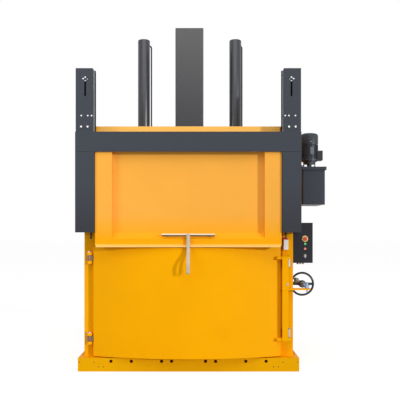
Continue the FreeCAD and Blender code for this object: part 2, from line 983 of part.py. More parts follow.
def hinge_pins():
    pins = []
    half = knuckle_h / 2 + ear_gap + ear_t
    for z in hinge_levels():
        pins.append(turned([(0, -half - 3), (hinge_pin_d / 2, -half - 3),
                            (hinge_pin_d / 2, half), (hinge_pin_d / 2 + 7, half),
                            (hinge_pin_d / 2 + 5, half + 9), (0, half + 9)],
                           (-hinge_x, hinge_y, z), (0, 0, 1)))
    return Part.makeCompound(pins)


def door_hinges():
    leaves = []
    for z in hinge_levels():
        low = z - knuckle_h / 2
        barrel = rod(knuckle_d, (-hinge_x, hinge_y, low), (0, 0, 1), knuckle_h)
        leaf = block(-hinge_x, -door_left, hinge_y - hinge_leaf_t / 2,
                     hinge_y + hinge_leaf_t / 2, low, low + knuckle_h)
        bore = rod(hinge_pin_d + 2 * pin_fit, (-hinge_x, hinge_y, low), (0, 0, 1),
                   knuckle_h)
        leaves.append(fused([barrel, leaf]).cut(bore))
    return Part.makeCompound(leaves)


# ---- lock ----
def lock_pin_levels():
    # middle height of the upper and the lower bearing
    low = lock_low + lock_arm_t + lock_bearing_gap
    high = lock_high - lock_arm_t - lock_bearing_gap
    return ((low, low + low_bearing_l), (high - high_bearing_l, high))


def lock_bearings():
    bearings = []
    for low, high in lock_pin_levels():
        h = high - low
        tube = rod(lock_tube_d, (lock_x, lock_y, low), (0, 0, 1), h)
        foot = block(lock_x - 8, lock_x + 8, lock_y, post_front - 8, low + 6, high - 6)
        plate = block(lock_x - 26, lock_x + 26, post_front - 8, post_front, low - 8,
                      high + 2)
        bore = rod(lock_pin_d + 2 * pin_fit, (lock_x, lock_y, low), (0, 0, 1), h)
        bearings.append(fused([tube, foot, plate]).cut(bore))
    return Part.makeCompound(bearings)


def lock_frame():
    arm_back = lock_y + lock_eye_d / 2
    bar = block(lock_bar_in, lock_bar_out, lock_front_y, lock_front_y + lock_bar_t,
                lock_low, lock_high)
    pieces = [bar]
    for low in (lock_low, lock_high - lock_arm_t):
        pieces.append(block(lock_arm_in, lock_x, lock_front_y, arm_back, low,
                            low + lock_arm_t))
        pieces.append(rod(lock_eye_d, (lock_x, lock_y, low), (0, 0, 1), lock_arm_t))
    end_half = screw_pin_d / 2 + slot_play + 11
    lever_end = screw_x + lever_past_pin
    lever = prism([(lock_bar_in, lock_front_y, lever_z), (lock_x, lock_front_y, lever_z),
                   (lever_end, screw_y - end_half, lever_z),
                   (lever_end, screw_y + end_half, lever_z), (lock_x, arm_back, lever_z),
                   (lock_bar_in, arm_back, lever_z)], (0, 0, lever_t))
    pieces.append(lever)
    whole = fused(pieces)
    slot_w = screw_pin_d + 2 * slot_play
    swing = math.radians(lock_swing_deg)
    arm = screw_x - lock_x
    slide = (arm - (lock_y - screw_y) * math.sin(swing)) / math.cos(swing) - arm + 1
    cuts = [block(screw_x, screw_x + slide, screw_y - slot_w / 2, screw_y + slot_w / 2,
                  lever_z, lever_z + lever_t)]
    for x in (screw_x, screw_x + slide):
        cuts.append(rod(slot_w, (x, screw_y, lever_z), (0, 0, 1), lever_t))
    for low in (lock_low, lock_high - lock_arm_t):
        cuts.append(rod(lock_pin_d, (lock_x, lock_y, low), (0, 0, 1), lock_arm_t))
    return whole.cut(Part.makeCompound(cuts))


def lock_pins():
    (low_a, low_b), (high_a, high_b) = lock_pin_levels()
    lower = rod(lock_pin_d, (lock_x, lock_y, lock_low - 4), (0, 0, 1),
                low_b + 6 - lock_low + 4)
    upper = rod(lock_pin_d, (lock_x, lock_y, high_a - 6), (0, 0, 1),
                lock_high + 4 - high_a + 6)
    return Part.makeCompound([lower, upper])


# ---- turnbuckle ----
def screw_rod():
    # threaded rod with an eye at its front and the pin that works in the lever's slot
    inside = front + sleeve_front + screw_inside
    bar = rod(screw_d, (screw_x, screw_y, screw_z), (0, 1, 0), inside - screw_y)
    eye = rod(screw_eye_d, (screw_x, screw_y, screw_z - screw_eye_h / 2), (0, 0, 1),
              screw_eye_h)
    pin_low = screw_z - screw_pin_below
    pin_high = screw_z + screw_pin_above
    pin = rod(screw_pin_d, (screw_x, screw_y, pin_low), (0, 0, 1), pin_high - pin_low)
    head = rod(screw_pin_d + 8, (screw_x, screw_y, pin_high), (0, 0, 1), 6)
    return fused([bar, eye, pin, head])


def screw_sleeve():
    y0 = front + sleeve_front
    y1 = front + sleeve_back
    bore = screw_d / 2 + pin_fit
    r = sleeve_d / 2
    length = y1 - y0
    collar = wheel_back - sleeve_front - wheel_hub_l / 2
    return turned([(bore, 0), (r - 4, 0), (r, 4), (r, collar - 8), (r + 3, collar - 6),
                   (r + 3, collar), (r, collar), (r, length - 4), (r - 4, length),
                   (bore, length)], (screw_x, y0, screw_z), (0, 1, 0))


def handwheel():
    y = front + wheel_back
    centre = vec(screw_x, y, screw_z)
    ring_r = (wheel_d - wheel_rim_d) / 2
    rim = Part.makeTorus(ring_r, wheel_rim_d / 2, centre, vec(0, 1, 0))
    hub_r = wheel_hub_d / 2
    h = wheel_hub_l / 2
    hub = turned([(0, -h), (hub_r - 4, -h), (hub_r, -h + 6), (hub_r, h - 6), (hub_r - 4, h),
                  (0, h)], (screw_x, y, screw_z), (0, 1, 0))
    spoke = block(screw_x - ring_r, screw_x + ring_r, y - wheel_arm_t / 2,
                  y + wheel_arm_t / 2, screw_z - wheel_arm_h / 2, screw_z + wheel_arm_h / 2)
    bore = rod(sleeve_d, (screw_x, y - h, screw_z), (0, 1, 0), wheel_hub_l)
    return fused([rim, hub, spoke]).cut(bore)


def anchor_spindle():
    # fixed journal that the rear end of the sleeve turns on, its eye pinned in the bracket
    y0 = front + sleeve_back - 90
    eye_y = front + anchor_lug_back
    bar = rod(screw_d, (screw_x, y0, screw_z), (0, 1, 0), eye_y - y0)
    collar = rod(sleeve_d, (screw_x, front + sleeve_back + 1, screw_z), (0, 1, 0), 14)
    eye = rod(screw_eye_d, (screw_x, eye_y, screw_z - screw_eye_h / 2), (0, 0, 1),
              screw_eye_h)
    pin = rod(screw_pin_d, (screw_x, eye_y, screw_z - 34), (0, 0, 1), 68)
    return fused([bar, collar, eye, pin])


def side_brackets():
    # rear anchor of the turnbuckle and the two consoles under the oil tank's side
    wall = chamber_x + wall_t
    eye_y = front + anchor_lug_back
    t = console_t
    face = wall + t
    ear_half = anchor_ear_w / 2
    reach = screw_eye_h / 2 + anchor_ear_gap
    foot = block(wall, face, eye_y - anchor_foot_w / 2, eye_y + anchor_foot_w / 2,
                 screw_z - anchor_foot_below, screw_z + anchor_foot_above)
    pieces = [foot]
    for low in (screw_z + reach, screw_z - reach - anchor_ear_t):
        ear = fused([block(face, screw_x, eye_y - ear_half, eye_y + ear_half, low,
                           low + anchor_ear_t),
                     rod(anchor_ear_w, (screw_x, eye_y, low), (0, 0, 1), anchor_ear_t)])
        pieces.append(ear.cut(rod(screw_pin_d, (screw_x, eye_y, low), (0, 0, 1),
                                  anchor_ear_t)))
    under = screw_z - reach - anchor_ear_t
    pieces.append(prism([(face, eye_y - t / 2, under),
                         (screw_x - anchor_ear_w, eye_y - t / 2, under),
                         (face, eye_y - t / 2, screw_z - anchor_foot_below + t)], (0, t, 0)))
    consoles = []
    low = console_low
    high = low + console_h
    for y in (front + tank_front + 70, front + tank_front + tank_d - 80):
        web = prism([(wall, y, low), (tank_in - t, y, low + 60), (tank_in - t, y, high),
                     (wall, y, high)], (0, t, 0))
        pad = block(tank_in - t, tank_in, y - 3 * t, y + 4 * t, low + 3 * t, high + t)
        seat = block(wall, wall + t, y - 3 * t, y, low - t, high + t)
        consoles.append(fused([web, pad, seat]))
    return Part.makeCompound([fused(pieces)] + consoles)


# ---- platen and hydraulics ----
def platen():
    plate = block(-platen_half_w, platen_half_w, -platen_half_d, platen_half_d,
                  platen_low, platen_plate)
    rim = block(-platen_half_w, platen_half_w, -platen_half_d, platen_half_d,
                platen_plate, platen_low + platen_skirt)
    wall = platen_wall
    rim = rim.cut(block(-platen_half_w + wall, platen_half_w - wall, -platen_half_d + wall,
                        platen_half_d - wall, platen_plate, platen_low + platen_skirt))
    pieces = [plate, rim]
    cuts = []
    for x in strap_places:
        pieces.append(block(x - channel_w / 2, x + channel_w / 2, -platen_half_d,
                            platen_half_d, platen_plate, platen_low + platen_skirt))
        cuts.append(block(x - channel_w / 2 + channel_t, x + channel_w / 2 - channel_t,
                          -platen_half_d, platen_half_d, platen_plate,
                          platen_low + platen_skirt - channel_t))
        cuts.append(block(x - strap_slot_w / 2, x + strap_slot_w / 2, -platen_half_d,
                          platen_half_d, platen_low, platen_plate))
    z = platen_low + platen_skirt
    half = platen_half_w - platen_rib_inset
    near, far = platen_beam_in, platen_beam_out
    cap = platen_top + platen_cap_t
    for side in (-1, 1):
        pieces.append(block(-half, half, side * near, side * far, z, platen_top))
        cuts.append(block(-half, half, side * (near + wall), side * (far - wall), z + wall,
                          platen_top - wall))
        pieces.append(block(side * (cyl_x - rod_d), side * (cyl_x + rod_d), -far, far,
                            platen_top, cap))
        for x in (cyl_x, half - platen_rib_t):
            for end in (-1, 1):
                pieces.append(block(side * x, side * (x + platen_rib_t), end * far,
                                    end * (far + platen_rib_l), z, platen_top - 20))
    reach = column_w / 2 + 60
    pieces.append(block(-reach, reach, -far, far, platen_top, cap))
    return fused(pieces).cut(Part.makeCompound(cuts))


def platen_shoes():
    # wear blocks on both ends of the platen, two near each edge
    shoes = []
    outer = platen_half_d - shoe_inset
    inner = platen_beam_out + shoe_w / 2
    for side in (-1, 1):
        for y in (-outer, -inner, inner - shoe_w, outer - shoe_w):
            shoes.append(block(side * platen_half_w, side * (platen_half_w + platen_gap - 2), y,
                               y + shoe_w, platen_plate, platen_low + platen_skirt - channel_t))
    return Part.makeCompound(shoes)


def column():
    half = column_w / 2
    low = platen_top + platen_cap_t
    high = column_top - column_cap
    tube = tube_box(-half, half, -half, half, low, high, column_wall, "z", column_corner)
    cap = block(-half, half, -half, half, high, column_top)
    cap = cap.makeFillet(column_corner, upright_edges(cap))
    return fused([tube, cap])


def cylinder_barrel(side):
    r = barrel_d / 2
    bore = barrel_bore_d / 2
    x = side * cyl_x
    gap = rod_d / 2 + running_gap
    profile = [(gap, barrel_low), (r - 4, barrel_low), (r, barrel_low + 4),
               (r, barrel_top - 9), (r - 4, barrel_top - 3), (r - 12, barrel_top),
               (0, barrel_top), (0, barrel_top - barrel_cap), (bore, barrel_top - barrel_cap),
               (bore, barrel_low + gland_h), (gap, barrel_low + gland_h)]
    barrel = turned(profile, (x, 0, 0), (0, 0, 1))
    z = frame_top + flange_t
    flange = block(x - flange_w / 2, x + flange_w / 2, -flange_w / 2, flange_w / 2,
                   z, z + flange_t)
    reach = math.hypot(pipe_x, pipe_y)
    toward = (pipe_x / reach, pipe_y / reach, 0)
    port = rod(port_d, (x + toward[0] * (r - 6), toward[1] * (r - 6), pipe_elbow_z), toward,
               14)
    flange = flange.cut(rod(barrel_d - 2, (x, 0, z), (0, 0, 1), flange_t))
    port = port.cut(rod(barrel_d - 2, (x, 0, pipe_elbow_z - 40), (0, 0, 1), 80))
    return fused([barrel, flange, port])


def cylinder_rods():
    rods = []
    low = platen_top + platen_cap_t
    high = piston_top
    r = rod_d / 2
    bore = barrel_bore_d / 2 - running_gap
    for side in (-1, 1):
        foot = rod_shoulder_d / 2
        rods.append(turned([(0, low), (foot, low), (foot, low + rod_shoulder_h - 8),
                            (r, low + rod_shoulder_h),
                            (r, high - piston_h), (bore, high - piston_h), (bore, high),
                            (0, high)], (side * cyl_x, 0, 0), (0, 0, 1)))
    return Part.makeCompound(rods)


def oil_pipes():
    z_left = frame_top + 108
    z_right = frame_top + 62
    reach = math.hypot(pipe_x, pipe_y)
    start = (barrel_d / 2 + 8) / reach
    y = pipe_y
    block_y = girder_in + girder_w / 2
    pipes = []
    for side, z in ((-1, z_left), (1, z_right)):
        x = side * cyl_x
        middle = manifold_x + manifold_w / 2
        end = [(middle, block_y, z), (middle, block_y, frame_top + manifold_h)]
        if side > 0:
            end = [(manifold_x, block_y, z)]
        pipes.append(pipe([(x + start * pipe_x, start * y, pipe_elbow_z),
                           (x + pipe_x, y, pipe_elbow_z), (x + pipe_x, y, z),
                           (x + pipe_x, block_y, z)] + end, pipe_d, pipe_bend))
    down_x = chamber_x + wall_t + rib_w + 35
    tank_y = front + tank_front + tank_d - 40
    down_z = tank_high - return_drop
    pipes.append(pipe([(manifold_x + manifold_w, block_y, frame_top + 45),
                       (down_x, block_y, frame_top + 45), (down_x, block_y, down_z),
                       (down_x, tank_y, down_z), (tank_in, tank_y, down_z)], pipe_d,
                      return_bend))
    return Part.makeCompound(pipes)


def valve_manifold():
    y = girder_in + girder_w / 2
    x = manifold_x
    half = manifold_h / 2
    body = block(x, x + manifold_w, y - half, y + half, frame_top, frame_top + manifold_h)
    coil = rod(valve_coil_d, (x + manifold_w / 4, y + half, frame_top + half + 2), (0, 1, 0),
               valve_coil_l)
    return fused([body, coil])


# ---- power pack ----
def tank():
    y0 = front + tank_front
    y1 = y0 + tank_d
    outer = block(tank_in, tank_out, y0, y1, tank_low, tank_high)
    outer = outer.makeFillet(tank_corner, upright_edges(outer))
    return outer.cut(block(tank_in + tank_wall, tank_out - tank_wall, y0 + tank_wall,
                           y1 - tank_wall, tank_low + tank_wall, tank_high))


def tank_lid():
    # lid with a turned-down rim, and the filler neck with its cap at the back
    y0 = front + tank_front - lid_over
    y1 = front + tank_front + tank_d + lid_over
    x0 = tank_in - lid_over
    x1 = tank_out + lid_over
    t = lid_rim_t
    top = tank_high + lid_t
    lid = block(x0, x1, y0, y1, tank_high - lid_rim_h, top)
    lid = lid.makeFillet(tank_corner, upright_edges(lid))
    lid = lid.cut(block(x0 + t, x1 - t, y0 + t, y1 - t, tank_high - lid_rim_h, tank_high))
    x = tank_in + filler_inset
    y = y1 - lid_over - filler_inset
    neck = rod(filler_d, (x, y, top), (0, 0, 1), filler_h)
    cap = rod(filler_cap_d, (x, y, top + filler_h), (0, 0, 1), filler_cap_h)
    return fused([lid, neck, cap])


def motor_body():
    # finned stator between two end shields, on an open bell housing with four windows
    x = motor_x
    y = front + motor_back
    low = tank_high + lid_t
    r = motor_d / 2
    core = turned([(0, bell_high), (r + 8, bell_high), (r + 8, bell_high + 14),
                   (r, bell_high + 18), (r, body_high - 14), (r + 6, body_high - 10),
                   (r + 6, body_high), (0, body_high)], (x, y, 0), (0, 0, 1))
    fins = []
    for i in range(fin_count):
        fin = block(r - 4, fin_d / 2, -fin_t / 2, fin_t / 2, bell_high + 20,
                    body_high - 16)
        fin.rotate(vec(0, 0, 0), vec(0, 0, 1), 360 / fin_count * (i + 0.5))
        fin.translate(vec(x, y, 0))
        fins.append(fin)
    bore = bell_bore_d / 2
    foot = bell_flange_d / 2
    bell = turned([(bore, low), (foot, low), (foot, low + 8), (bore + 10, low + 12),
                   (bore + 14, bell_high - 10), (r, bell_high - 8), (r, bell_high),
                   (bore, bell_high)], (x, y, 0), (0, 0, 1))
    windows = []
    for side in (-1, 1):
        near, far = side * 14, side * 56
        windows.append(block(x - 100, x + 100, y + near, y + far, low + 9, low + 46))
        windows.append(block(x + near, x + far, y - 100, y + 100, low + 9, low + 46))
    bell = bell.cut(Part.makeCompound(windows))
    shaft = rod(28, (x, y, low), (0, 0, 1), bell_high - low)
    pad = block(x - 4, x - 4 + pad_w, y - fin_d / 2 - 2, y, bell_high + pad_rise,
                bell_high + pad_rise + pad_h)
    return fused([core, bell, shaft, pad] + fins)


def fan_cowl():
    x = motor_x
    y = front + motor_back
    r = fin_d / 2
    low = body_high
    high = cowl_high
    profile = [(r - 3, low), (r, low), (r, high - 22), (r - 8, high - 8), (r - 24, high),
               (0, high), (0, high - 3), (r - 25, high - 3), (r - 10, high - 10),
               (r - 3, high - 23)]
    cowl = turned(profile, (x, y, 0), (0, 0, 1))
    slots = []
    for i in range(8):
        slot = block(22, r - 30, -4, 4, high - 3, high)
        slot.rotate(vec(0, 0, 0), vec(0, 0, 1), 45 * i + 22.5)
        slot.translate(vec(x, y, 0))
        slots.append(slot)
    return cowl.cut(Part.makeCompound(slots))


def terminal_box():
    y = front + motor_back
    low = bell_high + 1
    shape = block(motor_x + terminal_in, motor_x + terminal_out, y - terminal_front,
                  y + terminal_back, low, low + terminal_h)
    return shape.cut(rod(fin_d + 1, (motor_x, y, low), (0, 0, 1), terminal_h))


# ---- controls ----
def control_box():
    y0 = front + box_front + cover_depth
    y1 = front + box_front + box_d
    shell = block(box_in, box_out, y0, y1, box_low, box_high)
    t = box_wall
    shell = shell.cut(block(box_in + t, box_out - t, y0, y1 - t, box_low + t, box_high - t))
    mounts = [block(post_x, box_in, post_front + 30, post_front + 90, z, z + 40)
              for z in (box_low + 50, box_high - 90)]
    return fused([shell] + mounts)


def control_cover():
    y0 = front + box_front
    lip = box_wall
    shape = block(box_in - lip, box_out + lip, y0, y0 + cover_depth, box_low - lip,
                  box_high + lip)
    front_edges = [edge for edge in shape.Edges
                   if all(abs(v.Y - y0) < 0.1 for v in edge.Vertexes)]
    shape = shape.makeFillet(4, front_edges)
    hollow = block(box_in + lip, box_out - lip, y0 + cover_front_t, y0 + cover_depth,
                   box_low + lip, box_high - lip)
    holes = [rod(hole_d, (button_x, y0, z), (0, 1, 0), cover_front_t)
             for z, hole_d in ((estop_z, 20), (green_z, 16), (red_z, 16), (selector_z, 16))]
    return shape.cut(Part.makeCompound([hollow] + holes))


def cable_glands():
    glands = []
    y = front + box_front + 75
    for i in range(3):
        x = box_in + gland_first + i * gland_pitch
        glands.append(turned([(0, 0), (11, 0), (11, -6), (8, -8), (8, -15), (5, -19),
                              (0, -19)], (x, y, box_low), (0, 0, 1)))
    return Part.makeCompound(glands)


def button_bezels():
    bezels = []
    y = front + box_front
    for z in (green_z, red_z):
        bezels.append(turned([(12.3, 0), (15, 0), (15, 5), (14, 7.5), (12.3, 7.5)],
                             (button_x, y, z), (0, -1, 0)))
    half = selector_plate_w / 2
    plate = block(button_x - half, button_x + half, y - 3, y, selector_z - half,
                  selector_z + half)
    plate = plate.cut(rod(24.6, (button_x, y - 3, selector_z), (0, 1, 0), 3))
    return Part.makeCompound(bezels + [plate])


def estop_collar():
    y = front + box_front
    return turned([(10.3, 0), (31, 0), (31, 2), (29, 4), (15, 4), (15, 12), (10.3, 12)],
                  (button_x, y, estop_z), (0, -1, 0))


def estop_button():
    y = front + box_front
    return turned([(0, -8), (9.6, -8), (9.6, 17), (17, 17), (20, 20), (20, 26), (17, 30),
                   (10, 32), (0, 32)], (button_x, y, estop_z), (0, -1, 0))


def push_button(z):
    y = front + box_front
    return turned([(0, -8), (7.4, -8), (7.4, 4.5), (11.9, 4.5), (11.9, 9.5), (10.5, 11),
                   (0, 11.6)], (button_x, y, z), (0, -1, 0))


def selector():
    y = front + box_front
    knob = turned([(0, -8), (7.4, -8), (7.4, 2), (11.9, 2), (11.9, 9), (0, 9)],
                  (button_x, y, selector_z), (0, -1, 0))
    half_w = selector_grip_w / 2
    half_l = selector_grip_l / 2
    grip = block(button_x - half_w, button_x + half_w, y - 20, y - 8, selector_z - half_l,
                 selector_z + half_l)
    return fused([knob, grip])


def safety_switch():
    y0 = post_front - switch_d
    x1 = post_x - switch_inset
    body = block(x1 - switch_w, x1, y0, post_front, switch_low, switch_low + switch_h)
    lid_edges = [edge for edge in body.Edges
                 if all(abs(v.Y - y0) < 0.1 for v in edge.Vertexes)]
    return body.makeFillet(4, lid_edges)


def switch_head():
    # head on top of the switch, and its key that reaches towards the hatch
    y0 = post_front - switch_d + 6
    x1 = post_x - switch_inset - 4
    z = switch_low + switch_h
    return fused([block(x1 - switch_w + 8, x1, y0, post_front - 6, z, z + 13),
                  block(x1 - switch_w - 22, x1 - 26, y0 + 6, post_front - 12, z + 13,
                        z + 25)])


def hatch_catch():
    # steel hook plate under the end of the guide
    y = weight_y()
    return prism([(tower_in + 24, y - 30, leg_low), (tower_in + 24, y - 30, leg_low - 52),
                  (tower_in + 24, y - 58, leg_low - 52), (tower_in + 24, y - 58, leg_low - 64),
                  (tower_in + 24, y - 12, leg_low - 64), (tower_in + 24, y + 8, leg_low)],
                 (12, 0, 0))


def rope_wrap():
    x = sheave_x()
    y = weight_y()
    arch = Part.makeTorus(sheave_r, rope_d / 2, vec(x, y, sheave_z), vec(0, 1, 0))
    r = sheave_r + rope_d
    return arch.common(block(x - r, x + r, y - r, y + r, sheave_z, sheave_z + r))


# ---- nodes ----
def pair(shape):
    return Part.makeCompound([shape, mirrored(shape)])


def top_frame():
    pieces = [front_header(), rear_header(), column_guide(), top_girder(-1), top_girder(1),
              cylinder_seat(-1), cylinder_seat(1), top_side_plate(),
              mirrored(top_side_plate())]
    outer_y = girder_in + girder_w
    for side in (-1, 1):
        x = side * tie_x
        for y0, y1 in ((post_back, -outer_y), (outer_y, rear_post_front)):
            pieces.append(tube_box(x - 30, x + 30, y0, y1, frame_top - 110,
                                   frame_top - 50, rib_t, "y"))
    return Part.makeCompound(pieces)


def equipped_tower():
    return fused([tower(), sheave_pin(), hatch_catch()])


nodes = {
    "base_front_plate": base_front_plate(),
    "base_frame": base_frame(),
    "strap_channels": strap_channels(),
    "chassis_posts": Part.makeCompound([front_post(), mirrored(front_post()),
                                        rear_post(), mirrored(rear_post())]),
    "side_walls": Part.makeCompound(side_wall() + [mirrored(s) for s in side_wall()]),
    "rear_wall": rear_wall(),
    "top_frame": top_frame(),
    "guide_pads": guide_pads(),
    "front_beam": front_beam(),
    "leg_covers": pair(leg_cover()),
    "towers": pair(equipped_tower()),
    "guide_rails": Part.makeCompound([guide_rail(), mirrored(guide_rail())] + tower_bolts()),
    "rope_wraps": pair(rope_wrap()),
    "hinge_brackets": hinge_brackets(),
    "hinge_pins": hinge_pins(),
    "lock_bearings": lock_bearings(),
    "side_brackets": side_brackets(),
    "anchor_spindle": anchor_spindle(),
    "cylinder_barrels": Part.makeCompound([cylinder_barrel(-1), cylinder_barrel(1)]),
    "oil_pipes": oil_pipes(),
    "valve_manifold": valve_manifold(),
    "tank": tank(),
    "tank_lid": tank_lid(),
    "motor_body": motor_body(),
    "fan_cowl": fan_cowl(),
    "terminal_box": terminal_box(),
    "control_box": control_box(),
    "control_cover": control_cover(),
    "cable_glands": cable_glands(),
    "button_bezels": button_bezels(),
    "estop_collar": estop_collar(),
    "safety_switch": safety_switch(),
    "switch_head": switch_head(),
    "platen": platen(),
    "platen_shoes": platen_shoes(),
    "column": column(),
    "cylinder_rods": cylinder_rods(),
    "hatch_panel": hatch_panel(),
    "slide_shoes": slide_shoes(),
    "pull_handle": pull_handle(),
    "pull_strap": pull_strap(),
    "hatch_ropes": pair(rope_hatch_side()),
    "counterweight_right": counterweight(),
    "counterweight_left": mirrored(counterweight()),
    "weight_rope_right": rope_weight_side(),
    "weight_rope_left": mirrored(rope_weight_side()),
    "sheave_right": sheave(),
    "sheave_left": mirrored(sheave()),
    "door_skin": door_skin(),
    "door_liner": door_liner(),
    "door_hinges": door_hinges(),
    "lock_frame": lock_frame(),
    "lock_pins": lock_pins(),
    "handwheel": handwheel(),
    "screw_sleeve": screw_sleeve(),
    "screw_rod": screw_rod(),
    "estop_button": estop_button(),
    "green_button": push_button(green_z),
    "red_button": push_button(red_z),
    "selector": selector(),
}

os.makedirs("parts", exist_ok=True)
for name, shape in nodes.items():
    shape.exportStep("parts/" + name + ".step")
    solids = shape.Solids
    print(name, len(solids), round(sum(solid.Volume for solid in solids) / 1000.0, 1),
          "cm3", "valid" if shape.isValid() else "NOT VALID")
print(len(nodes), "nodes")
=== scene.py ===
import json
import math

import bmesh
import bpy
import numpy as np
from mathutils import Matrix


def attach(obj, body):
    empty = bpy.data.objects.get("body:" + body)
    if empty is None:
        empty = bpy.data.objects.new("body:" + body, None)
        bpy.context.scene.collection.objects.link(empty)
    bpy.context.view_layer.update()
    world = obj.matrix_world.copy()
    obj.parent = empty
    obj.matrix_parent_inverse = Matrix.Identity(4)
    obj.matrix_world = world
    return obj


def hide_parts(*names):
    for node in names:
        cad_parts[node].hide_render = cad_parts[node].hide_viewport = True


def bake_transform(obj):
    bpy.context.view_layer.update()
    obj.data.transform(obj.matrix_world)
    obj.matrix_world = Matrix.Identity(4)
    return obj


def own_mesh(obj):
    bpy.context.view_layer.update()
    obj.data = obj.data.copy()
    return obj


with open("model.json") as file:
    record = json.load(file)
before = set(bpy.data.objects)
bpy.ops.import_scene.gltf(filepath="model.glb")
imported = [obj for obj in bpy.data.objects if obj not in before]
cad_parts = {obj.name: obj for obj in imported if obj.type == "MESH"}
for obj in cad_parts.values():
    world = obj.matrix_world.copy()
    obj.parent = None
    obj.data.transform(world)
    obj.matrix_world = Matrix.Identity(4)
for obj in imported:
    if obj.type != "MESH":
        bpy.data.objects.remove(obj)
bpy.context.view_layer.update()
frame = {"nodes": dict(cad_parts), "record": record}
cadNodes = frame["nodes"]
print("frame loaded:", len(cadNodes), "nodes")


# camera, light and floor

viewpoint = {"place": (0.113, -6.645, 1.415), "lens": 54.8, "sensor": 36.0, "shiftUp": 0.07,
             "farthest": 200.0}


def makeCamera():
    data = bpy.data.cameras.new("studioCamera")
    data.lens = viewpoint["lens"]
    data.sensor_width = viewpoint["sensor"]
    data.shift_y = viewpoint["shiftUp"]
    data.clip_end = viewpoint["farthest"]
    camera = bpy.data.objects.new("studioCamera", data)
    camera.location = viewpoint["place"]
    camera.rotation_euler = (math.pi / 2, 0.0, 0.0)
    bpy.context.scene.collection.objects.link(camera)
    bpy.context.scene.camera = camera


studio = {"worldLight": 0.40, "floorColour": "#B4B4B4", "floorGlow": 0.76, "floorHalf": 60.0,
          "floorZ": -0.0005}      # just below the part's feet

# turns and softness in degrees; the strip is a tall soft box for the left side of the cylinders
lamps = {
    "keyLamp": {"kind": "SUN", "strength": 1.62, "softness": 4.0, "place": (0.0, 0.0, 0.0),
                "turn": (80.0, 0.0, 47.0)},
    "topLamp": {"kind": "AREA", "strength": 190.0, "shape": "SQUARE", "size": (5.5, 5.5),
                "place": (0.0, -4.3, 7.2), "turn": (38.0, 0.0, 0.0)},
    "stripLamp": {"kind": "AREA", "strength": 120.0, "shape": "RECTANGLE", "size": (2.4, 4.0),
                  "place": (-5.6, -5.0, 3.2), "turn": (90.0, 0.0, -48.0)},
}


def linear(hexText):
    # sRGB hex to the linear colour that a shader wants
    parts = np.array([int(hexText[i:i + 2], 16) for i in (1, 3, 5)]) / 255.0
    low = parts / 12.92
    high = ((parts + 0.055) / 1.055) ** 2.4
    return tuple(np.where(parts <= 0.04045, low, high)) + (1.0,)


def addNode(tree, kind, inputs=None, **settings):
    # adds a node; an input is a plain value, or (node, output name) for a link
    node = tree.nodes.new(kind)
    for key, value in settings.items():
        setattr(node, key, value)
    for socket, value in (inputs or {}).items():
        if isinstance(value, tuple) and isinstance(value[0], bpy.types.Node):
            tree.links.new(value[0].outputs[value[1]], node.inputs[socket])
        else:
            node.inputs[socket].default_value = value
    return node


def seenRays(tree):
    # 1 on what the camera sees straight, in a reflection or through glass, else 0
    path = addNode(tree, "ShaderNodeLightPath")
    seen = addNode(tree, "ShaderNodeMath", {0: (path, "Is Camera Ray"), 1: (path, "Is Glossy Ray")},
                   operation="MAXIMUM")
    return addNode(tree, "ShaderNodeMath", {0: (seen, "Value"), 1: (path, "Is Transmission Ray")},
                   operation="MAXIMUM")


def makeLamps():
    for name, setup in lamps.items():
        light = bpy.data.lights.new(name, setup["kind"])
        light.energy = setup["strength"]
        if setup["kind"] == "SUN":
            light.angle = math.radians(setup["softness"])
        else:
            light.shape = setup["shape"]
            light.size, light.size_y = setup["size"]
        lamp = bpy.data.objects.new(name, light)
        lamp.location = setup["place"]
        lamp.rotation_euler = [math.radians(turn) for turn in setup["turn"]]
        bpy.context.scene.collection.objects.link(lamp)


def makeWorld():
    # white where it is seen, dimmer where it only gives light
    world = bpy.data.worlds.new("studioWorld")
    world.use_nodes = True
    bpy.context.scene.world = world
    tree = world.node_tree
    tree.nodes.clear()
    seen = seenRays(tree)
    light = addNode(tree, "ShaderNodeBackground", {"Strength": studio["worldLight"]})
    shown = addNode(tree, "ShaderNodeBackground", {"Strength": 1.0})
    for node in (light, shown):
        node.inputs["Color"].default_value = (1.0, 1.0, 1.0, 1.0)
    mix = addNode(tree, "ShaderNodeMixShader", {0: (seen, "Value"), 1: (light, "Background"),
                                                2: (shown, "Background")})
    addNode(tree, "ShaderNodeOutputWorld", {"Surface": (mix, "Shader")})


def makeFloor():
    # a big square of pale paper; where it is seen it glows a little, so only the shadow shows
    half = studio["floorHalf"]
    data = bpy.data.meshes.new("studioFloor")
    data.from_pydata([(-half, -half, 0), (half, -half, 0), (half, half, 0), (-half, half, 0)], [],
                     [(0, 1, 2, 3)])
    floor = bpy.data.objects.new("studioFloor", data)
    floor.location = (0.0, 0.0, studio["floorZ"])
    bpy.context.scene.collection.objects.link(floor)
    material = bpy.data.materials.new("studioPaper")
    material.use_nodes = True
    tree = material.node_tree
    tree.nodes.clear()
    paper = addNode(tree, "ShaderNodeBsdfDiffuse", {"Color": linear(studio["floorColour"])})
    glow = addNode(tree, "ShaderNodeEmission", {"Color": (1.0, 1.0, 1.0, 1.0)})
    strength = addNode(tree, "ShaderNodeMath",
                       {0: (seenRays(tree), "Value"), 1: studio["floorGlow"]},
                       operation="MULTIPLY")
    tree.links.new(strength.outputs["Value"], glow.inputs["Strength"])
    both = addNode(tree, "ShaderNodeAddShader", {0: (paper, "BSDF"), 1: (glow, "Emission")})
    addNode(tree, "ShaderNodeOutputMaterial", {"Surface": (both, "Shader")})
    data.materials.append(material)


makeCamera()
makeLamps()
makeWorld()
makeFloor()
bpy.context.scene.view_settings.view_transform = "Standard"
print("camera, light and floor")


# materials

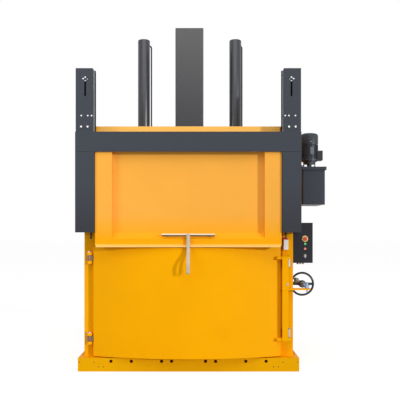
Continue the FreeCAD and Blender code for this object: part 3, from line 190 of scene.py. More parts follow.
def newMaterial(name):
    material = bpy.data.materials.new(name)
    material.use_nodes = True
    tree = material.node_tree
    tree.nodes.clear()
    shader = addNode(tree, "ShaderNodeBsdfPrincipled")
    addNode(tree, "ShaderNodeOutputMaterial", {"Surface": (shader, "BSDF")})
    return material, tree, shader


mixColourInputs, mixColourOutput = (6, 7), 2      # the mix node's sockets for colours


def mixedColour(tree, share, first, second):
    # the output of a node that blends two colours; the first may be such an output itself
    mix = addNode(tree, "ShaderNodeMix", {0: share}, data_type="RGBA")
    for socket, colour in zip(mixColourInputs, (first, second)):
        if isinstance(colour, str):
            mix.inputs[socket].default_value = linear(colour)
        else:
            tree.links.new(colour, mix.inputs[socket])
    return mix.outputs[mixColourOutput]


def addBump(tree, shader, height, strength, distance):
    bump = addNode(tree, "ShaderNodeBump", {"Height": height, "Strength": strength,
                                            "Distance": distance})
    tree.links.new(bump.outputs["Normal"], shader.inputs["Normal"])


coatTexture = {"ripples": 240.0, "clouds": 3.2, "cloudLow": 0.3, "cloudHigh": 0.7,
               "darkest": 0.975, "lightest": 1.02, "dulling": 0.04, "lipFade": 0.016}


def powderCoat(name, colour, roughness, gloss, paintedTone=None):
    # polyester powder baked on blasted steel: soft sheen, ripples some 4 mm across, a film that
    # is a little thicker and duller in clouds 0.3 m across; the last argument gives a second tone,
    # painted in for light and shade: its axis, the places between which it fades in, its colour,
    # and the colour and top of a lower lip
    material, tree, shader = newMaterial(name)
    look = coatTexture
    coords = addNode(tree, "ShaderNodeTexCoord")
    peel = addNode(tree, "ShaderNodeTexNoise", {"Vector": (coords, "Object"),
                                                "Scale": look["ripples"], "Detail": 1.0})
    clouds = addNode(tree, "ShaderNodeTexNoise", {"Vector": (coords, "Object"),
                                                  "Scale": look["clouds"], "Detail": 4.0})
    tone = addNode(tree, "ShaderNodeMapRange", {"Value": (clouds, "Fac"),
                                                "From Min": look["cloudLow"],
                                                "From Max": look["cloudHigh"],
                                                "To Min": look["darkest"],
                                                "To Max": look["lightest"]})
    tinted = addNode(tree, "ShaderNodeVectorMath", {0: linear(colour)[:3]}, operation="SCALE")
    shader.inputs["Specular IOR Level"].default_value = gloss
    if paintedTone:
        place = addNode(tree, "ShaderNodeSeparateXYZ", {"Vector": (coords, "Object")})
        share = addNode(tree, "ShaderNodeMapRange", {"Value": (place, paintedTone["axis"]),
                                                     "From Min": paintedTone["start"],
                                                     "From Max": paintedTone["end"]})
        coat = mixedColour(tree, (share, "Result"), colour, paintedTone["colour"])
        if "lip" in paintedTone:
            lipEnd = paintedTone["lipTop"] - look["lipFade"]
            below = addNode(tree, "ShaderNodeMapRange", {"Value": (place, "Z"),
                                                         "From Min": paintedTone["lipTop"],
                                                         "From Max": lipEnd})
            coat = mixedColour(tree, (below, "Result"), coat, paintedTone["lip"])
        tree.links.new(coat, tinted.inputs[0])
    tree.links.new(tone.outputs["Result"], tinted.inputs["Scale"])
    tree.links.new(tinted.outputs["Vector"], shader.inputs["Base Color"])
    dull = addNode(tree, "ShaderNodeMapRange", {"Value": (clouds, "Fac"),
                                                "From Min": look["cloudLow"],
                                                "From Max": look["cloudHigh"],
                                                "To Min": roughness + look["dulling"],
                                                "To Max": roughness - look["dulling"]})
    tree.links.new(dull.outputs["Result"], shader.inputs["Roughness"])
    addBump(tree, shader, (peel, "Fac"), strength=0.12, distance=0.0006)
    return material


def mouldedPlastic(name, colour, roughness):
    # injection-moulded plastic: plain colour, a fine spark-eroded grain of about 0.5 mm
    material, tree, shader = newMaterial(name)
    shader.inputs["Base Color"].default_value = linear(colour)
    shader.inputs["Roughness"].default_value = roughness
    coords = addNode(tree, "ShaderNodeTexCoord")
    grain = addNode(tree, "ShaderNodeTexNoise", {"Vector": (coords, "Object"), "Scale": 1900.0,
                                                 "Detail": 1.0})
    addBump(tree, shader, (grain, "Fac"), strength=0.08, distance=0.0001)
    return material


def bareMetal(name, colour, roughness, streak):
    # turned, drawn or ground metal: fine tool marks break the gloss up; streak is their pitch in
    # mm, and spreadBy how far they move the roughness either way
    spreadBy = 0.06
    material, tree, shader = newMaterial(name)
    shader.inputs["Base Color"].default_value = linear(colour)
    shader.inputs["Metallic"].default_value = 1.0
    coords = addNode(tree, "ShaderNodeTexCoord")
    marks = addNode(tree, "ShaderNodeTexNoise", {"Vector": (coords, "Object"),
                                                 "Scale": 1000.0 / streak, "Detail": 3.0})
    spread = addNode(tree, "ShaderNodeMapRange", {"Value": (marks, "Fac"),
                                                  "To Min": roughness - spreadBy,
                                                  "To Max": roughness + spreadBy})
    tree.links.new(spread.outputs["Result"], shader.inputs["Roughness"])
    return material


def zincCoat(name, colour):
    # hot-dip galvanising: patches of crystal 8 mm across, each a slightly different grey
    material, tree, shader = newMaterial(name)
    coords = addNode(tree, "ShaderNodeTexCoord")
    spangle = addNode(tree, "ShaderNodeTexVoronoi", {"Vector": (coords, "Object"), "Scale": 120.0})
    tone = addNode(tree, "ShaderNodeMapRange", {"Value": (spangle, "Color"), "To Min": 0.86,
                                                "To Max": 1.1})
    tinted = addNode(tree, "ShaderNodeVectorMath", {0: linear(colour)[:3]}, operation="SCALE")
    tree.links.new(tone.outputs["Result"], tinted.inputs["Scale"])
    tree.links.new(tinted.outputs["Vector"], shader.inputs["Base Color"])
    shader.inputs["Metallic"].default_value = 0.85
    shader.inputs["Roughness"].default_value = 0.38
    return material


def wovenWebbing(name, light, dark):
    # polyester webbing on the strip's own UV: rows across 3.2 mm apart, warp threads 1.7 mm apart
    material, tree, shader = newMaterial(name)
    coords = addNode(tree, "ShaderNodeUVMap", uv_map="weave")
    rows = addNode(tree, "ShaderNodeTexWave", {"Vector": (coords, "UV"), "Scale": 98.0,
                                               "Distortion": 0.0}, bands_direction="Y")
    warp = addNode(tree, "ShaderNodeTexWave", {"Vector": (coords, "UV"), "Scale": 190.0,
                                               "Distortion": 0.0}, bands_direction="X")
    both = addNode(tree, "ShaderNodeMath", {0: (rows, "Fac"), 1: (warp, "Fac")},
                   operation="MULTIPLY")
    tint = mixedColour(tree, (both, "Value"), dark, light)
    tree.links.new(tint, shader.inputs["Base Color"])
    addBump(tree, shader, (both, "Value"), strength=0.5, distance=0.0005)
    shader.inputs["Roughness"].default_value = 0.85
    shader.inputs["Sheen Weight"].default_value = 0.2
    return material


def wireRope(name, colour):
    # galvanised wire rope on its own UV: wires 0.33 mm apart that lean by 1 in 32
    material, tree, shader = newMaterial(name)
    shader.inputs["Base Color"].default_value = linear(colour)
    shader.inputs["Metallic"].default_value = 0.9
    shader.inputs["Roughness"].default_value = 0.42
    coords = addNode(tree, "ShaderNodeUVMap", uv_map="lay")
    strands = addNode(tree, "ShaderNodeTexWave", {"Vector": (coords, "UV"), "Scale": 12.0,
                                                  "Distortion": 0.0}, bands_direction="DIAGONAL")
    addBump(tree, shader, (strands, "Fac"), strength=1.0, distance=0.0008)
    return material


finishes = {
    "yellow_paint": powderCoat("yellowPowderCoat", "#FAAE00", 0.50, 0.05),
    "anthracite_paint": powderCoat("anthracitePowderCoat", "#3A3E46", 0.42, 0.22),
    "black_paint": powderCoat("blackPowderCoat", "#26272E", 0.42, 0.20),
    "cast_grey": powderCoat("greyMachineEnamel", "#36373A", 0.45, 0.25),
    "galvanised_steel": zincCoat("galvanisedSteel", "#B9BCC0"),
    "bright_steel": bareMetal("turnedSteel", "#A9A8A6", 0.34, 2.0),
    "chrome_rod": bareMetal("hardChrome", "#D2D4D6", 0.12, 6.0),
    "black_plastic": mouldedPlastic("blackNylon", "#1B1B1D", 0.32),
    "wear_plastic": mouldedPlastic("wearPolyethylene", "#242427", 0.55),
    "grey_plastic": mouldedPlastic("greyPolycarbonate", "#D6D2CC", 0.45),
    "red_plastic": mouldedPlastic("redPolycarbonate", "#D8261C", 0.25),
    "green_plastic": mouldedPlastic("greenPolycarbonate", "#18A84C", 0.22),
    "yellow_plastic": mouldedPlastic("yellowPolycarbonate", "#F2B630", 0.35),
    "webbing": wovenWebbing("polyesterWebbing", "#E9DCC8", "#B9A88E"),
}
ropeSteel = wireRope("wireRopeSteel", "#9A9C9E")
# near-black, so that the slots in the towers show painted shade
weightPrimer = powderCoat("weightPrimer", "#121316", 0.60, 0.10)

# parts whose coat differs from the rest of their slot, some of them only to get the tone that
# they have in the photo
otherFinishes = {
    # painted light and shade: paler upwards for a painted reflection, a touch less red at the top
    # for painted shade under the beam, and a paler lip below 1.262 m as a painted highlight
    "hatch_panel": powderCoat("hatchCoatPaintedLightAndShade", "#FBA900", 0.46, 0.14,
                              {"axis": "Z", "start": 1.30, "end": 1.56, "colour": "#F6AD43",
                               "lip": "#FFCB6E", "lipTop": 1.262}),
    # painted highlight: the header's front is paler than the rest of it
    "top_frame": powderCoat("headerCoatPaintedHighlight", "#FAAE00", 0.48, 0.16,
                            {"axis": "Y", "start": -0.42, "end": -0.50, "colour": "#FFC05C"}),
    # painted reflection: the column turns lighter towards its top
    "column": powderCoat("columnCoatPaintedReflection", "#383C44", 0.40, 0.22,
                         {"axis": "Z", "start": 2.3, "end": 3.5, "colour": "#5A5959"}),
    "cylinder_barrels": powderCoat("cylinderPowderCoat", "#2A2D32", 0.34, 0.50),
    "counterweight_right": weightPrimer,
    "counterweight_left": weightPrimer,
    # painted shade: the edge of each rail that faces the hatch is dark
    "rail_left": powderCoat("zincPaintedShadeEdgeLeft", "#B2B5B8", 0.45, 0.1,
                            {"axis": "X", "start": -0.921, "end": -0.918, "colour": "#060607"}),
    "rail_right": powderCoat("zincPaintedShadeEdgeRight", "#B2B5B8", 0.45, 0.1,
                             {"axis": "X", "start": 0.921, "end": 0.918, "colour": "#060607"}),
    "rail_bolts": zincCoat("brightZincPlate", "#F6F5F0"),
    # painted shade: the hinges are darkened for the shade between post and door
    "door_hinges": bareMetal("hingeSteelPaintedShade", "#7C6152", 0.40, 3.0),
    # painted shadow of the lock bar: a dark stripe on the right front post, plain yellow below
    # 0.305 m
    "lock_post": powderCoat("lockPostCoatPaintedShadow", "#FAAE00", 0.50, 0.05,
                            {"axis": "X", "start": 0.944, "end": 0.938, "colour": "#B06A04",
                             "lip": "#FAAE00", "lipTop": 0.305}),
    # painted shade: the lock pins are darkened
    "lock_pins": bareMetal("darkPins", "#2E2822", 0.50, 1.0),
    # painted shade: the leg covers darken towards their bottom
    "leg_covers": powderCoat("legCoatPaintedShade", "#3A3E46", 0.42, 0.22,
                             {"axis": "Z", "start": 1.85, "end": 1.42, "colour": "#313339"}),
    # painted shade: the base's front plate is a darker yellow than the rest
    "base_front_plate": powderCoat("baseCoatPaintedShade", "#EBAA00", 0.50, 0.05),
    "motor_body": powderCoat("motorEnamel", "#3A3F48", 0.40, 0.35),
    # painted light: the red mushroom is paled towards salmon
    "estop_button": mouldedPlastic("redMushroomPaintedLight", "#DE4A36", 0.25),
    "estop_collar": mouldedPlastic("paleYellowCollar", "#FFDF8C", 0.35),
    # painted cool light: the sleeve is tinted bluish, and the screw's blue zinc plate is pushed
    # bluer still
    "screw_sleeve": powderCoat("sleeveEnamelPaintedCoolLight", "#8790A4", 0.40, 0.4),
    "screw_rod": bareMetal("blueZincPaintedCoolLight", "#8FA2C4", 0.40, 2.0),
    "anchor_bracket": powderCoat("bracketPowderCoat", "#2E3036", 0.42, 0.30),
    "safety_switch": mouldedPlastic("whitePolyamide", "#FFFAF8", 0.42),
    # painted glow: both pilot lenses are paler and brighter than their plastic, as if lit
    "red_button": mouldedPlastic("redLensPaintedGlow", "#FF9C86", 0.22),
    "green_button": mouldedPlastic("greenLensPaintedGlow", "#74E684", 0.20),
    "selector": mouldedPlastic("paleSelectorGrip", "#C9C8C4", 0.35),
    "cable_gland": mouldedPlastic("brownGlandNylon", "#8E4A3A", 0.40),
    # painted reflection and shade: the bar is tinted warm for the yellow around it, and its lower
    # half is dark brown
    "pull_handle": powderCoat("handleBarPaintedReflectionAndShade", "#E4D2B6", 0.35, 0.6,
                              {"axis": "Z", "start": 1.3480, "end": 1.3450,
                               "colour": "#2C1A0C"}),
    "motor_pad": bareMetal("machinedAluminium", "#66686A", 0.45, 1.5),
}
print("materials made")


# tools

def keep(mesh, name, body, slotName, material=None, replaced=()):
    # puts a finished mesh in the scene as a piece that rides on a body
    piece = bpy.data.objects.new(name, mesh)
    bpy.context.scene.collection.objects.link(piece)
    mesh.materials.clear()
    mesh.materials.append(material or finishes[slotName])
    if replaced:
        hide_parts(*replaced)
    if body:
        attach(piece, body)
    return piece


def shadeByAngle(mesh, degrees=35.0):
    # smooth where neighbouring faces meet flatter than the angle, sharp elsewhere
    work = bmesh.new()
    work.from_mesh(mesh)
    limit = math.radians(degrees)
    for face in work.faces:
        face.smooth = True
    for edge in work.edges:
        edge.smooth = len(edge.link_faces) == 2 and edge.calc_face_angle(0.0) < limit
    work.to_mesh(mesh)
    work.free()


def gridFaces(rows, columns, closedRows, closedColumns):
    # quads of a rows x columns grid of points, as one array
    r = np.arange(rows if closedRows else rows - 1)
    c = np.arange(columns if closedColumns else columns - 1)
    i, j = np.meshgrid(r, c, indexing="ij")
    a = i * columns + j
    b = i * columns + (j + 1) % columns
    d = ((i + 1) % rows) * columns + j
    e = ((i + 1) % rows) * columns + (j + 1) % columns
    return np.stack([a, b, e, d], axis=-1).reshape(-1, 4)


def tubeFaces(rows, sides, closed=False):
    # faces of a tube made of rings, with a face over each end unless its ends meet
    faces = gridFaces(rows, sides, closed, True).tolist()
    if not closed:
        faces += [list(range(sides)), list(range((rows - 1) * sides, rows * sides))]
    return faces


def meshOf(name, points, faces, degrees=35.0):
    mesh = bpy.data.meshes.new(name)
    mesh.from_pydata(np.asarray(points, float).reshape(-1, 3).tolist(), [],
                     [tuple(int(v) for v in face) for face in faces])
    work = bmesh.new()
    work.from_mesh(mesh)
    bmesh.ops.remove_doubles(work, verts=work.verts, dist=1e-6)
    bmesh.ops.recalc_face_normals(work, faces=work.faces)
    work.to_mesh(mesh)
    work.free()
    shadeByAngle(mesh, degrees)
    return mesh


def axisFrame(axis):
    # two directions square to a main axis, so that u x v points along it
    w = np.asarray(axis, float)
    w = w / np.linalg.norm(w)
    helper = np.array([0.0, 0.0, 1.0]) if abs(w[2]) < 0.9 else np.array([1.0, 0.0, 0.0])
    u = np.cross(helper, w)
    u = u / np.linalg.norm(u)
    return u, np.cross(w, u), w


def turnedPoints(profile, centre, axis, sides):
    # surface of revolution: point = centre + r(t) (cos a u + sin a v) + h(t) w
    u, v, w = axisFrame(axis)
    r, h = np.asarray(profile, float).T
    a = np.linspace(0.0, 2 * np.pi, sides, endpoint=False)
    ring = np.cos(a)[None, :, None] * u + np.sin(a)[None, :, None] * v
    return np.asarray(centre) + r[:, None, None] * ring + h[:, None, None] * w


def join(parts):
    # several (points, faces) pairs as one
    points, faces, count = [], [], 0
    for somePoints, someFaces in parts:
        somePoints = np.asarray(somePoints, float).reshape(-1, 3)
        points.append(somePoints)
        faces.extend([[int(v) + count for v in face] for face in someFaces])
        count += len(somePoints)
    return np.concatenate(points), faces


def turnedPart(profile, centre, axis, sides=48, closedProfile=False):
    points = turnedPoints(profile, centre, axis, sides)
    rows = len(profile)
    faces = gridFaces(rows, sides, closedProfile, True).tolist()
    if not closedProfile:
        if profile[0][0] > 1e-9:
            faces.append(list(range(sides)))
        if profile[-1][0] > 1e-9:
            faces.append(list(range((rows - 1) * sides, rows * sides)))
    return points.reshape(-1, 3), faces


def alongPart(path, section, reference, closed=False):
    # a closed section carried along a path: point = p(s) + a side(s) + b up(s),
    # where side = tangent x reference and up = side x tangent
    path = np.asarray(path, float)
    if closed:
        tangent = np.roll(path, -1, axis=0) - np.roll(path, 1, axis=0)
    else:
        tangent = np.gradient(path, axis=0)
    tangent /= np.linalg.norm(tangent, axis=1)[:, None]
    side = np.cross(tangent, np.asarray(reference, float))
    side /= np.linalg.norm(side, axis=1)[:, None]
    up = np.cross(side, tangent)
    section = np.asarray(section, float)
    points = (path[:, None, :] + section[None, :, :1] * side[:, None, :]
              + section[None, :, 1:] * up[:, None, :])
    return points.reshape(-1, 3), tubeFaces(len(path), len(section), closed)


def circleSection(radius, sides):
    a = np.linspace(0.0, 2 * np.pi, sides, endpoint=False)
    return np.stack([radius * np.cos(a), radius * np.sin(a)], axis=1)


def breakEdges(piece, width):
    # bevel on every sharp edge, as a press brake or a deburring wheel leaves it
    bevel = piece.modifiers.new("brokenEdges", "BEVEL")
    bevel.width = width
    bevel.segments = 2
    bevel.limit_method = "ANGLE"
    bevel.angle_limit = math.radians(40.0)
    bevel.harden_normals = True


def islandsOf(work):
    # lists of faces that hang together
    left, islands = set(work.faces), []
    while left:
        queue = [left.pop()]
        found = []
        while queue:
            face = queue.pop()
            found.append(face)
            for edge in face.edges:
                for other in edge.link_faces:
                    if other in left:
                        left.remove(other)
                        queue.append(other)
        islands.append(found)
    return islands


flatTilt = 0.6      # degrees between triangles that are merged to one face


def finishedCopy(node, width, name, material=None, wanted=None):
    # the construction's own shape with its triangles merged to flat faces and its edges broken;
    # wanted(low, high) picks the lumps to copy by their corners
    mesh = cadNodes[node].data.copy()
    work = bmesh.new()
    work.from_mesh(mesh)
    bmesh.ops.remove_doubles(work, verts=work.verts, dist=2e-6)
    if wanted:
        drop = []
        for island in islandsOf(work):
            corners = np.array([vert.co[:] for face in island for vert in face.verts])
            if not wanted(corners.min(axis=0), corners.max(axis=0)):
                drop += island
        bmesh.ops.delete(work, geom=drop, context="FACES")
    bmesh.ops.dissolve_limit(work, angle_limit=math.radians(flatTilt), verts=work.verts,
                             edges=work.edges)
    work.to_mesh(mesh)
    work.free()
    shadeByAngle(mesh)
    breakEdges(keep(mesh, name, bodyOf[node], slotOf[node], material, (node,)), width)


bodyOf = {node: body for body, members in frame["record"]["behaviour"]["bodies"].items()
          for node in members}
slotOf = {part["node"]: part["material_slot"] for part in frame["record"]["subparts"]}
for nodeName, cadObject in cadNodes.items():
    cadObject.data.materials.clear()
    cadObject.data.materials.append(finishes[slotOf[nodeName]])


# parts that keep the construction's shape: edge radius in metres for each

edgeWidths = {
    "base_front_plate": 0.0015, "base_frame": 0.0015, "lock_pins": 0.0005,
    "side_walls": 0.001, "rear_wall": 0.001, "top_frame": 0.001, "front_beam": 0.0012,
    "leg_covers": 0.0012, "towers": 0.0012, "hinge_brackets": 0.0015,
    "lock_bearings": 0.001, "tank": 0.001, "tank_lid": 0.0015,
    "terminal_box": 0.002, "control_box": 0.001, "control_cover": 0.0008,
    "safety_switch": 0.0012, "switch_head": 0.001, "platen": 0.001, "column": 0.002,
    "hatch_panel": 0.0012, "door_skin": 0.002, "door_liner": 0.001, "door_hinges": 0.001,
    "lock_frame": 0.002, "valve_manifold": 0.001, "pull_handle": 0.0015,
    "motor_body": 0.0008, "fan_cowl": 0.001, "counterweight_right": 0.001,
    "counterweight_left": 0.001, "cylinder_barrels": 0.001, "red_button": 0.0012,
    "green_button": 0.0012, "selector": 0.0015, "estop_button": 0.0015, "estop_collar": 0.001,
}


def pieceName(node):
    first, *rest = node.split("_")
    return first + "".join(word.capitalize() for word in rest)


# parts copied in several pieces with their own finishes: each takes the lumps whose low and
# high corners pass its test
lumpSplits = {"railLength": 0.1, "lockPostX": 0.9, "consoleZ": 1.1}


def isRail(low, high):
    return high[2] - low[2] > lumpSplits["railLength"]


def isLockPost(low):
    return low[0] > lumpSplits["lockPostX"] and low[1] < 0


def isConsole(low):
    return low[2] > lumpSplits["consoleZ"]


lumpCopies = {
    "leftRail": {"node": "guide_rails", "edge": 0.0008, "finish": "rail_left",
                 "wanted": lambda low, high: isRail(low, high) and low[0] < 0},
    "rightRail": {"node": "guide_rails", "edge": 0.0008, "finish": "rail_right",
                  "wanted": lambda low, high: isRail(low, high) and low[0] > 0},
    "railBolts": {"node": "guide_rails", "edge": 0.0008, "finish": "rail_bolts",
                  "wanted": lambda low, high: not isRail(low, high)},
    "lockPost": {"node": "chassis_posts", "edge": 0.002, "finish": "lock_post",
                 "wanted": lambda low, high: isLockPost(low)},
    "otherPosts": {"node": "chassis_posts", "edge": 0.002, "finish": None,
                   "wanted": lambda low, high: not isLockPost(low)},
    "sideConsoles": {"node": "side_brackets", "edge": 0.001, "finish": None,
                     "wanted": lambda low, high: isConsole(low)},
    "anchorBracket": {"node": "side_brackets", "edge": 0.001, "finish": "anchor_bracket",
                      "wanted": lambda low, high: not isConsole(low)},
}


def makeEdges():
    for node, width in edgeWidths.items():
        finishedCopy(node, width, pieceName(node), otherFinishes.get(node))
    for name, lump in lumpCopies.items():
        finishedCopy(lump["node"], lump["edge"], name, otherFinishes.get(lump["finish"]),
                     lump["wanted"])


makeEdges()
print("edges broken on", len(edgeWidths) + len({lump["node"] for lump in lumpCopies.values()}),
      "parts")


# handwheel and its screw

wheel = {"centre": (1.172, -0.327, 0.836), "rimRadius": 0.114, "rimTube": 0.011,
         "hubRadius": 0.038, "hubHalf": 0.024, "bore": 0.024,
         # the hub's rounded edge, inwards and along from its corner; grub screw: radius, height
         "hubEdge": ((0.005, 0.0), (0.001, 0.003), (0.0, 0.007)),
         "grub": ((0, 0), (0.003, 0), (0.0045, -0.0012), (0.0045, 0.004), (0, 0.004)),
         "grubForward": 0.012, "grubSunk": 0.002, "armStart": 0.028,
         "armHeight": 0.0155, "armNarrowing": 0.0040, "armFlare": 0.0025, "armDepth": 0.0090,
         "armThinning": 0.0025, "rimRings": 96, "armRings": 16, "sides": 20}


def makeHandwheel():
    # rim: torus, point = centre + (R + r cos b)(cos a, 0, sin a) + (0, r sin b, 0)
    cx, cy, cz = wheel["centre"]
    rings, sides = wheel["rimRings"], wheel["sides"]
    a = np.linspace(0, 2 * np.pi, rings, endpoint=False)[:, None]
    b = np.linspace(0, 2 * np.pi, sides, endpoint=False)
    reach = wheel["rimRadius"] + wheel["rimTube"] * np.cos(b)
    rim = np.stack([cx + reach * np.cos(a), cy + wheel["rimTube"] * np.sin(b) + 0 * a,
                    cz + reach * np.sin(a)], axis=-1)
    parts = [(rim.reshape(-1, 3), gridFaces(rings, sides, True, True))]
    h, r = wheel["hubHalf"], wheel["hubRadius"]
    edge = [(r - inward, h - along) for inward, along in wheel["hubEdge"]]
    hub = [(wheel["bore"], -h)] + [(x, -z) for x, z in edge] + edge[::-1] + [(wheel["bore"], h)]
    parts.append(turnedPart(hub, wheel["centre"], (0, 1, 0), 64, True))
    # arms: an oval section that thins from the hub to the rim
    s = np.linspace(0.0, 1.0, wheel["armRings"])
    start = wheel["armStart"]
    height = wheel["armHeight"] - wheel["armNarrowing"] * s + wheel["armFlare"] * s ** 8
    depth = wheel["armDepth"] - wheel["armThinning"] * s
    y = cy + depth[:, None] * np.sign(np.sin(b)) * np.abs(np.sin(b)) ** 0.7
    z = cz + height[:, None] * np.sign(np.cos(b)) * np.abs(np.cos(b)) ** 0.7
    for side in (-1, 1):
        x = cx + side * (start + s * (wheel["rimRadius"] - start))
        arm = np.stack([np.repeat(x[:, None], sides, axis=1), y, z], axis=-1)
        parts.append((arm.reshape(-1, 3), tubeFaces(wheel["armRings"], sides)))
    points, faces = join(parts)
    keep(meshOf("handwheelCasting", points, faces), "handwheelCasting", "wheel",
         "black_plastic", None, ("handwheel",))
    # grub screw that holds the wheel on the sleeve
    place = (cx, cy - wheel["grubForward"], cz + r - wheel["grubSunk"])
    grub = turnedPart(wheel["grub"], place, (0, 0, 1), 18)
    keep(meshOf("handwheelGrubScrew", *grub), "handwheelGrubScrew", "wheel", "bright_steel")


screw = {"x": 1.172, "y": -0.625, "z": 0.836, "radius": 0.012, "threadDepth": 0.0019,
         "pitch": 0.0057, "inside": -0.427, "eyeRadius": 0.022, "eyeHalf": 0.013,
         "eyeEdge": 0.002, "eyeOverlap": 0.004, "pinLow": 0.782, "pinHigh": 0.864,
         "pinRadius": 0.009, "pinEdge": 0.0015, "headRadius": 0.013, "headHeight": 0.006,
         "clipInside": 0.0004, "clipOutside": 0.0035, "clipHalf": 0.001, "clipUp": 0.006}
sleeve = {"start": -0.499, "length": 0.464, "radius": 0.024, "bore": 0.01205, "collar": 0.148,
          "mouth": 0.0015, "endRound": 0.004, "endRoundMiddle": 0.0012}


def threadedPart(start, end, radius, depth, pitch, centre, sides=32, ringsPerTurn=10):
    # trapezoidal thread along Y: r(a, s) = radius - depth clip(1/2 + 1.3 cos(2 pi s / pitch - a))
    rows = int((end - start) / pitch * ringsPerTurn)
    s = np.linspace(start, end, rows)[:, None]
    a = np.linspace(0, 2 * np.pi, sides, endpoint=False)[None, :]
    wave = np.clip(0.5 + 1.3 * np.cos(2 * np.pi * s / pitch - a), 0, 1)
    r = radius - depth * wave
    x = centre[0] + r * np.cos(a)
    z = centre[1] - r * np.sin(a)
    points = np.stack([x, s + 0 * a, z], axis=-1)
    return points.reshape(-1, 3), tubeFaces(rows, sides)


def makeScrew():
    x, y, z = screw["x"], screw["y"], screw["z"]
    r, h, c = screw["eyeRadius"], screw["eyeHalf"], screw["eyeEdge"]
    thread = threadedPart(y + r - screw["eyeOverlap"], screw["inside"], screw["radius"],
                          screw["threadDepth"], screw["pitch"], (x, z))
    eye = turnedPart([(0, -h), (r - c, -h), (r, -h + c), (r, h - c), (r - c, h), (0, h)],
                     (x, y, z), (0, 0, 1), 48)
    p, e, head = screw["pinRadius"], screw["pinEdge"], screw["headRadius"]
    low, high = screw["pinLow"] - z, screw["pinHigh"] - z
    top = high + screw["headHeight"]
    pin = turnedPart([(0, low), (p - e, low), (p, low + c), (p, high), (head, high),
                      (head, top - e), (head - e, top), (0, top)], (x, y, z), (0, 0, 1), 36)
    points, faces = join([thread, eye, pin])
    keep(meshOf("turnbuckleScrew", points, faces, 30.0), "turnbuckleScrew", "screw",
         "bright_steel", otherFinishes["screw_rod"], ("screw_rod",))
    # spring clip across the lower end of the pin
    inside, outside, half = p + screw["clipInside"], p + screw["clipOutside"], screw["clipHalf"]
    clip = turnedPart([(inside, -half), (outside, -half), (outside, half), (inside, half)],
                      (x, y, z + low + screw["clipUp"]), (0, 0, 1), 32, True)
    keep(meshOf("turnbucklePinClip", *clip), "turnbucklePinClip", "screw", "bright_steel")


def makeSleeve():
    # long turned nut: rounded ends, and a collar that the wheel's hub stands against
    r, bore, length, c = sleeve["radius"], sleeve["bore"], sleeve["length"], sleeve["collar"]
    m, q, k = sleeve["mouth"], sleeve["endRound"], sleeve["endRoundMiddle"]
    profile = [(bore, m), (bore + m, 0), (r - q, 0), (r - k, k), (r, q),
               (r, c - 0.008), (r + 0.0022, c - 0.0072), (r + 0.003, c - 0.006),
               (r + 0.003, c - 0.001), (r + 0.0022, c), (r, c),
               (r, length - q), (r - k, length - k), (r - q, length), (bore + m, length),
               (bore, length - m)]
    part = turnedPart(profile, (screw["x"], sleeve["start"], screw["z"]), (0, 1, 0), 72, True)
    keep(meshOf("turnbuckleSleeve", *part), "turnbuckleSleeve", bodyOf["screw_sleeve"],
         slotOf["screw_sleeve"], otherFinishes["screw_sleeve"], ("screw_sleeve",))


makeHandwheel()
makeScrew()
makeSleeve()
print("handwheel and screw")


# pull strap

strap = {"width": 0.034, "thickness": 0.003, "barY": -0.767, "barZ": 1.348, "barRadius": 0.0135,
         "barClear": 0.0006, "lipY": -0.7875, "lipZ": 1.251, "layerGap": 0.0036,
         "loopY": -0.855, "loopZ": 1.014, "loopRadius": 0.030}
overBar = strap["barRadius"] + strap["thickness"] / 2 + strap["barClear"]
stitches = {"rows": 9, "columns": (-0.011, -0.004, 0.004, 0.011), "top": 1.312,
            "pitch": 0.0055, "radius": 0.0005, "half": 0.0019, "proud": 0.0002}


def pushedUp(piece):
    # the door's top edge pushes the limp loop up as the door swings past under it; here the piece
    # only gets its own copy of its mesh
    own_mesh(piece)


def strapLine():
    # closed cubic B-spline through the places that the webbing passes, seen from the side
    by, bz, ly, lz = strap["barY"], strap["barZ"], strap["lipY"], strap["lipZ"]
    oy, oz, q = strap["loopY"], strap["loopZ"], strap["loopRadius"]
    gap = strap["layerGap"]
    a = np.radians([-20, 10, 45, 90, 135, 170, 200])
    over = np.stack([by + overBar * np.cos(a), bz + overBar * np.sin(a)], axis=1)
    s = np.linspace(0.12, 0.88, 4)[:, None]
    front = (1 - s) * np.array([[by - overBar, bz - 0.006]]) + s * np.array([[ly - gap, lz]])
    # from the lip down the front, round the curl at the bottom and up behind
    below = np.array([[ly - gap - 0.004, lz - 0.030], [ly - gap - 0.016, lz - 0.075],
                      [oy - q + 0.006, oz + 0.075], [oy - q, oz + 0.030],
                      [oy - q + 0.004, oz - 0.012], [oy - 0.024, oz - 0.036],
                      [oy, oz - q - 0.003], [oy + 0.024, oz - 0.034],
                      [oy + q - 0.003, oz - 0.006], [oy + q - 0.003, oz + 0.035],
                      [oy + q + 0.004, oz + 0.085], [ly - 0.010, lz - 0.100],
                      [ly - 0.003, lz - 0.060], [ly - 0.0005, lz - 0.025]])
    back = (1 - s) * np.array([[ly, lz]]) + s * np.array([[by + overBar - 0.001, bz - 0.012]])
    control = np.concatenate([over, front, below, back])
    t = np.linspace(0, 1, 9)[:-1][None, :, None]
    p0, p1 = np.roll(control, 1, 0)[:, None], control[:, None]
    p2, p3 = np.roll(control, -1, 0)[:, None], np.roll(control, -2, 0)[:, None]
    line = ((1 - t) ** 3 * p0 + (3 * t ** 3 - 6 * t ** 2 + 4) * p1
            + (-3 * t ** 3 + 3 * t ** 2 + 3 * t + 1) * p2 + t ** 3 * p3) / 6
    return line.reshape(-1, 2)


